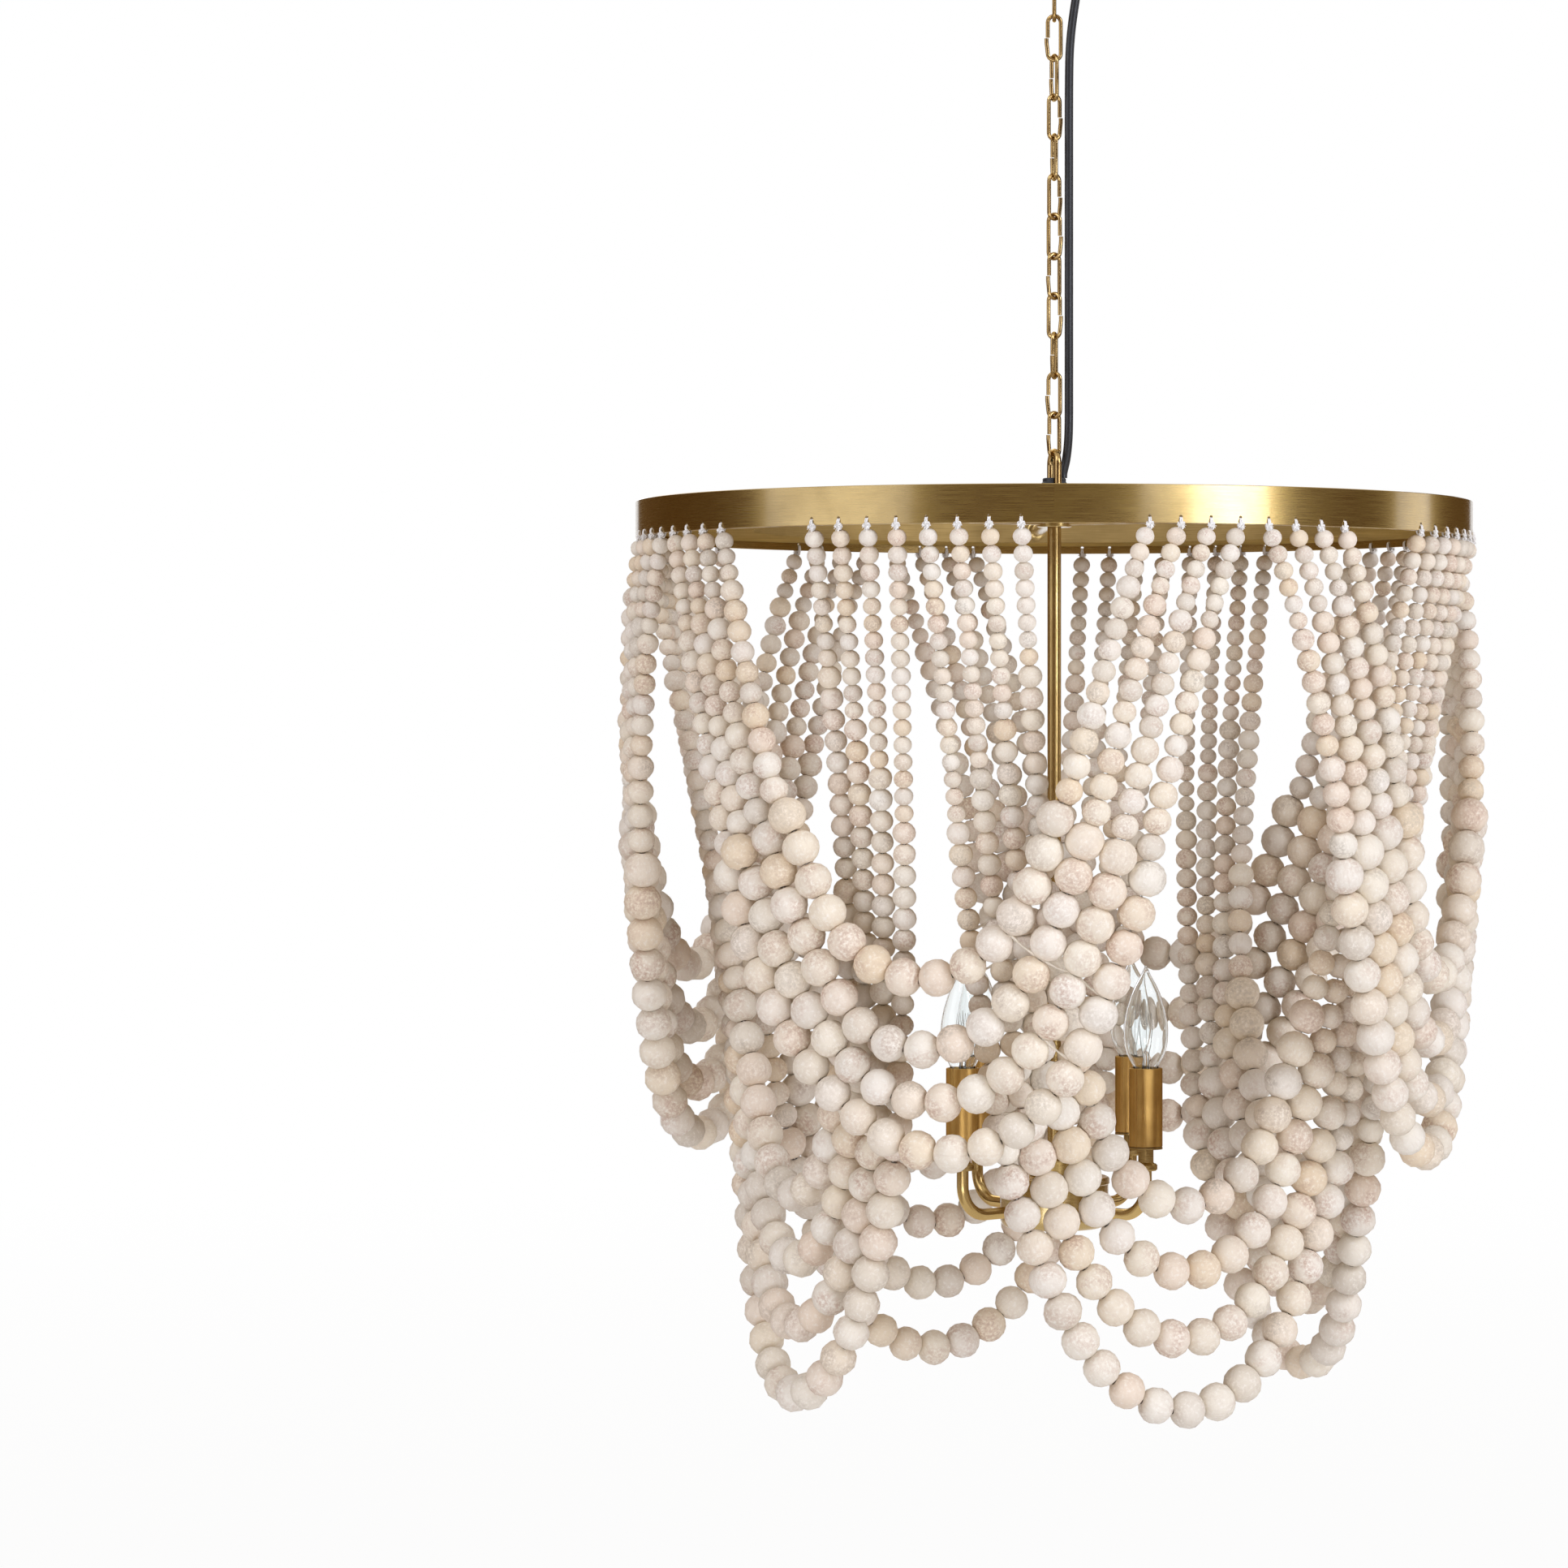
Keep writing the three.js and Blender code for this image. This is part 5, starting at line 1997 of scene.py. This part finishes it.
@dataclass
class Swag:
    """One strand: a catenary between two holes, leaning in and graded in bead size.

    Its sideways shift grows towards its foot. The small beads are given from the end inwards.
    """

    level: Level
    number: int
    azimuth: float
    half_angle: float
    drop: float
    ring_radius: float
    bottom_radius: float
    small_widths: Sequence[float]
    main_width: float
    bow: float
    gather: float
    shift: float
    waist: float = 0.05
    pitch: float = 0.905
    first_depth: float = 0.0032
    search_reach: float = 8
    search_rounds: int = 60
    steps: int = 1200

    def __post_init__(self) -> None:
        """Works out the catenary by halving the range of its sag."""
        self.half_span = self.ring_radius * math.sin(math.radians(self.half_angle))
        low, high = self.half_span / self.search_reach, self.half_span * self.search_reach
        for _ in range(self.search_rounds):
            middle = (low + high) / 2
            if middle * (math.cosh(self.half_span / middle) - 1) > self.drop:
                low = middle
            else:
                high = middle
        self.sag = low
        self.half_length = self.sag * math.sinh(self.half_span / self.sag)

    def at(self, along: float, ring_bottom: float) -> Vector:
        """Finds a point of the centre line.

        Args:
            along: signed distance along the catenary from its lowest point.
            ring_bottom: height of the band's lower edge.

        Returns:
            The point.
        """
        depth = self.drop - self.sag * (math.hypot(along / self.sag, 1) - 1)
        part = depth / self.drop
        middle = 4 * part * (1 - part)
        sideways = self.sag * math.asinh(along / self.sag) * (1 - self.waist * middle)
        gathered = (1 + self.gather) * part - self.gather * part * part
        radius = self.ring_radius - (self.ring_radius - self.bottom_radius) * gathered
        radius += self.bow * middle
        sideways += self.shift * part * part
        offset = math.degrees(math.asin(max(-1.0, min(1.0, sideways / radius))))
        return around(self.azimuth + offset, radius, ring_bottom - depth)

    def widths(self, length: float) -> list[float]:
        """Grades the beads from one end to the other.

        Args:
            length: length of the string.

        Returns:
            The width of each bead.
        """
        taken = 2 * sum(self.small_widths) * self.pitch
        main = max(1, round((length - taken) / (self.main_width * self.pitch)))
        return [*self.small_widths, *[self.main_width] * main, *reversed(self.small_widths)]

    def beads(self, ring_bottom: float, strand: int) -> list[Bead]:
        """Lays the beads along the centre line.

        Args:
            ring_bottom: height of the band's lower edge.
            strand: number that tells the strands apart.

        Returns:
            The beads in order.
        """
        usable = self.half_length - self.first_depth
        shares = (2 * usable * i / self.steps for i in range(self.steps + 1))
        line = [self.at(-usable + share, ring_bottom) for share in shares]
        runs = [0.0]
        for before, after in zip(line, line[1:]):
            runs.append(runs[-1] + (after - before).length)
        widths = self.widths(runs[-1])
        fit = runs[-1] / (sum(widths) * self.pitch)
        beads: list[Bead] = []
        reached, index = 0.0, 0
        for number, width in enumerate(widths):
            middle = reached + width * self.pitch * fit / 2
            while runs[index + 1] < middle:
                index += 1
            share = (middle - runs[index]) / (runs[index + 1] - runs[index])
            place = line[index].lerp(line[index + 1], share)
            firm = number in (0, len(widths) - 1)
            beads.append(Bead(place.copy(), place.copy(), width, strand, firm))
            reached += width * self.pitch * fit
        return beads


@dataclass
class BeadSwags:
    """Eight sets of four strands, hung from the band's holes.

    The front set is slack and shifted, as in the photograph. The bead's profile is the upper half
    of its outline, one unit wide.
    """

    finishes: Finishes
    ring: Ring
    strands_per_set: int = 4
    plans = {
        Level.OUTER: SetPlan((0.315, 0.361, 0.403, 0.440), ((2, 1), (6, 0), (4, 0)), 0.012, 0.0),
        Level.INNER: SetPlan((0.470, 0.516, 0.563, 0.612), ((5, 3), (10, 0), (5, 0)), 0.0, 0.25),
    }
    small_widths: tuple[float, ...] = (0.0131, 0.0165, 0.0197)
    main_width: float = 0.0269
    front_slack: tuple[float, ...] = (0.98, 0.986, 0.976, 0.971)
    front_shifts: tuple[float, ...] = (0.0, 0.0, 0.006, 0.015)
    outer_lean: float = 0.055
    inner_bottom_radius: float = 0.207
    sway: float = 0.0016
    sway_step: float = 2.39996
    settle_rounds: int = 60
    homing: float = 0.03
    squeeze: float = 0.935
    bead_profile: tuple[Point, ...] = (
        (0.5, 0.0), (0.464, 0.178), (0.354, 0.336), (0.187, 0.44), (0, 0.43)
    )
    bead_sides: int = 12
    width_spread: float = 0.03
    width_step: float = 5.3
    string_radius: float = 0.0006
    tie_zone: tuple[Point, Point] = ((-0.045, -0.4, -0.87), (0.055, -0.19, -0.73))
    tie_reach: float = 0.031
    tie_sag: Place = (0, 0.002, -0.001)
    tie_radii: tuple[float, ...] = (0.0017, 0.0007, 0.0017)

    def build(self) -> None:
        """Lays out every bead, clears overlaps and makes one piece for each pair of strands."""
        swags = self._swags()
        strands = [swag.beads(self.ring.bottom, i) for i, swag in enumerate(swags)]
        self._settle(strands)
        shape = self._bead_shape()
        for pair in range(0, len(swags), 2):
            swag = swags[pair]
            bay = round((swag.azimuth - self.ring.turn) / (360 / self.ring.bays))
            half = "upper" if swag.number == 1 else "lower"
            node = f"{swag.level.value}_set_{bay // 2 + 1}_{half}_strands"
            self._piece(node, strands[pair : pair + 2], shape, pair)
        bpy.data.objects.remove(shape)
        self._strings(strands)
        self._ties(strands)

    def _swags(self) -> list[Swag]:
        """Lists the strands, set by set, from the shortest to the longest.

        Returns:
            The strands.
        """
        swags: list[Swag] = []
        bay_angle = 360 / self.ring.bays
        step = bay_angle / self.ring.places_per_bay
        top = self.ring.radius - self.ring.thickness / 2
        middle = (self.ring.holes_per_bay + 1) / 2
        for bay in range(self.ring.bays):
            level = Level.INNER if bay % 2 else Level.OUTER
            plan = self.plans[level]
            for i, drop in enumerate(plan.drops):
                if bay == 0:
                    drop *= self.front_slack[i]
                lean = top - self.outer_lean * drop
                counts = (base + more * (i + 1) for base, more in plan.counts)
                small = [w for count, w in zip(counts, self.small_widths) for _ in range(count)]
                swags.append(Swag(
                    level, i + 1, self.ring.turn + bay * bay_angle,
                    bay_angle - step * (middle - (i + 1)), drop, top,
                    self.inner_bottom_radius if level is Level.INNER else lean,
                    small, self.main_width, plan.bow, plan.gather,
                    self.front_shifts[i] if bay == 0 else 0.0,
                ))
        return swags

    def _settle(self, strands: Sequence[Sequence[Bead]]) -> None:
        """Pushes crossing beads apart while each strand keeps its spacing.

        Args:
            strands: the beads of each strand, moved in place.
        """
        beads = [bead for strand in strands for bead in strand]
        for index, bead in enumerate(beads):
            outward = Vector((bead.place.x, bead.place.y, 0)).normalized()
            if not bead.firm:
                bead.place += outward * (math.sin(index * self.sway_step) * self.sway)
        gaps = [
            [(after.home - before.home).length for before, after in zip(strand, strand[1:])]
            for strand in strands
        ]
        for _ in range(self.settle_rounds):
            self._push_apart(beads)
            for strand, lengths in zip(strands, gaps):
                for first, second, length in zip(strand, strand[1:], lengths):
                    self._keep_gap(first, second, length)
            for bead in beads:
                bead.place += (bead.home - bead.place) * self.homing

    def _push_apart(self, beads: Sequence[Bead]) -> None:
        """Moves each overlapping pair of beads of different strands half the overlap each.

        Args:
            beads: all beads, moved in place.
        """
        tree = kdtree.KDTree(len(beads))
        for index, bead in enumerate(beads):
            tree.insert(bead.place, index)
        tree.balance()
        for index, bead in enumerate(beads):
            for _place, other_index, _distance in tree.find_range(bead.place, self.main_width):
                other = beads[other_index]
                if other_index <= index or other.strand == bead.strand:
                    continue
                reach = (bead.width + other.width) / 2 * self.squeeze
                offset = other.place - bead.place
                if offset.length >= reach:
                    continue
                push = offset.normalized() * (reach - offset.length) * 0.5
                bead.place -= push * (not bead.firm)
                other.place += push * (not other.firm)

    @staticmethod
    def _keep_gap(first: Bead, second: Bead, length: float) -> None:
        """Restores the distance between two neighbouring beads of a strand.

        Args:
            first: a bead, moved in place.
            second: the next one, moved too.
            length: their distance.
        """
        offset = second.place - first.place
        change = offset.normalized() * (offset.length - length) * 0.5
        first.place += change * (not first.firm)
        second.place -= change * (not second.firm)

    def _bead_shape(self) -> Piece:
        """Makes a bead one unit wide, slightly flat at both holes, with its own coordinates.

        Returns:
            The bead.
        """
        outline = [(r, -z) for r, z in reversed(self.bead_profile[1:])] + list(self.bead_profile)
        bead = lathe("bead_shape", outline, sides=self.bead_sides)
        bead.data.set_sharp_from_angle(angle=NEVER_SHARP)
        grain = bead.data.attributes.new("grain", "FLOAT_VECTOR", "POINT")
        corners = [value for vertex in bead.data.vertices for value in vertex.co]
        grain.data.foreach_set("vector", corners)
        return bead

    def _piece(
        self, node: str, strands: Sequence[Sequence[Bead]], shape: Piece, seed: int
    ) -> None:
        """Makes the beads that stand for one solid.

        Args:
            node: name of the solid.
            strands: its strands.
            shape: one bead.
            seed: seed of the beads' tints, spins and widths.
        """
        points, turns, sizes = [], [], []
        for strand in strands:
            for i, bead in enumerate(strand):
                before, after = strand[max(i - 1, 0)], strand[min(i + 1, len(strand) - 1)]
                direction = after.place - before.place
                points.append(bead.place)
                turns.append(direction.to_track_quat("Z", "Y").to_matrix())
                odd = self.width_spread * math.sin(i * self.width_step + seed)
                sizes.append(bead.width * (1 + odd))
        kit = self.finishes
        piece = CopyTree().place(
            "beads_" + node.removesuffix("_strands"), shape, points, turns,
            kit.material(kit.wood), sizes, spin=2 * math.pi, seed=seed,
        )
        kit.dress(piece, kit.wood, node)

    def _strings(self, strands: Sequence[Sequence[Bead]]) -> None:
        """Makes the string that shows between the beads.

        Args:
            strands: the beads of each strand.
        """
        parts = [
            sweep("string", [bead.place for bead in strand], self.string_radius, 5)
            for strand in strands
        ]
        kit = self.finishes
        kit.dress(merge("bead_strings", parts), kit.string)

    def _ties(self, strands: Sequence[Sequence[Bead]]) -> None:
        """Ties neighbouring strands with thin thread where the front swags cross.

        Args:
            strands: the beads of each strand.
        """
        low, high = self.tie_zone
        gaps = [[(a.place + b.place) / 2 for a, b in zip(s, s[1:])] for s in strands]
        parts = []
        for i, (starts, ends) in enumerate(zip(gaps, gaps[1:]), 1):
            if i % self.strands_per_set == 0:
                continue
            inside = [gap for gap in starts if all(low[k] < gap[k] < high[k] for k in range(3))]
            for start in inside[::2]:
                end = min(ends, key=lambda place: (place - start).length)
                if (end - start).length < self.tie_reach:
                    middle = (start + end) / 2 + Vector(self.tie_sag)
                    parts.append(sweep("thread", [start, middle, end], self.tie_radii, 6))
        kit = self.finishes
        kit.dress(merge("strand_ties", parts), kit.thread)


@dataclass
class Knots:
    """Loop of string through each hole of the band, with a knot and frayed ends below.

    Sizes are in millimetres from the middle of the band's lower edge. The tie's line gives how far
    out and how high it runs; each frayed end gives its tip.
    """

    finishes: Finishes
    ring: Ring
    seed: int = 11
    tie_line: tuple[Point, ...] = (
        (1.0, 3.95), (1.8, 3.6), (2.1, 2.2), (2.0, 0.2), (1.6, -1.6), (0.7, -3.0), (-0.6, -3.0),
        (-1.7, -1.4), (-2.1, 1.2), (-1.9, 3.4), (-0.9, 3.95),
    )
    tie_sides: Pair = (-0.55, 0.55)
    tie_wobble: float = 0.25
    tie_radius: float = 0.6
    knot_points: int = 20
    knot_width: float = 0.82
    knot_height: float = 0.92
    knot_depth: float = 1.1
    knot_centre: Pair = (-1.5, -1.2)
    knot_radius: float = 0.74
    knot_ripple: float = 0.18
    frays: tuple[Place, ...] = (
        (-3.3, -2.0, -1.1), (-2.6, -3.0, -2.9), (-1.3, -3.2, -4.1), (1.0, -3.6, -3.9),
        (2.5, -2.8, -3.1), (3.6, -1.8, -1.4), (1.5, -3.4, -0.1), (-1.9, -3.1, 0.1),
        (2.7, -2.3, 0.2),
    )
    fray_root: Place = (0.3, -1.6, -1.8)
    fray_bend: Place = (0.3, -0.2, 0.5)
    fray_radii: tuple[float, ...] = (0.42, 0.34, 0.16)

    def build(self) -> None:
        """Puts a knot at each hole."""
        shape = self._shape()
        middle = self.ring.radius - self.ring.thickness / 2
        azimuths = self.ring.hole_azimuths()
        points = [around(azimuth, middle, self.ring.bottom) for azimuth in azimuths]
        turns = [Matrix.Rotation(math.radians(azimuth), 3, "Z") for azimuth in azimuths]
        kit = self.finishes
        material = kit.material(kit.string)
        piece = CopyTree().place("string_knots", shape, points, turns, material, seed=self.seed)
        bpy.data.objects.remove(shape)
        kit.dress(piece, kit.string)

    def _shape(self) -> Piece:
        """Makes one knot, outwards along -Y.

        Returns:
            The knot, with its loop and frayed ends.
        """
        mm, parts = MILLIMETRE, []
        for side in self.tie_sides:
            path = [
                Vector((side * (1 + self.tie_wobble * (-1) ** i), -out, up)) * mm
                for i, (out, up) in enumerate(self.tie_line)
            ]
            parts.append(sweep("tie", path, self.tie_radius * mm, 7, True))
        knot, back, low = [], *self.knot_centre
        for i in range(self.knot_points):
            t = 2 * math.pi * i / self.knot_points
            across = self.knot_width * (math.sin(t) + 2 * math.sin(2 * t))
            up = self.knot_height * (math.cos(t) - 2 * math.cos(2 * t))
            deep = back + self.knot_depth * math.sin(3 * t)
            knot.append(Vector((across, deep, up + low)) * mm)
        radii = [
            (self.knot_radius + self.knot_ripple * (-1) ** i) * mm for i in range(self.knot_points)
        ]
        parts.append(sweep("knot", knot, radii, 6, True))
        root, bend = self.fray_root, self.fray_bend
        for i, tip in enumerate(self.frays):
            start, end = Vector((tip[0] * root[0], root[1], root[2])) * mm, Vector(tip) * mm
            curl = Vector((bend[0] * (-1) ** i, bend[1], bend[2])) * mm
            path = [start, (start + end) / 2 + curl, end]
            parts.append(sweep("fray", path, [radius * mm for radius in self.fray_radii], 5))
        return merge("knot_shape", parts)


def main() -> None:
    """Builds the studio and every sub-assembly in order."""
    logging.basicConfig(level=logging.INFO, format="%(name)s: %(message)s")
    Studio().build()
    finishes = Finishes()
    ring = Ring(finishes)
    for part in (
        SupplyCord(finishes),
        CeilingFixing(finishes),
        Chain(finishes),
        ring,
        LampCluster(finishes),
        BeadSwags(finishes, ring),
        Knots(finishes, ring),
    ):
        part.build()
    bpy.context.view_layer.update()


if __name__ == "__main__":
    main()
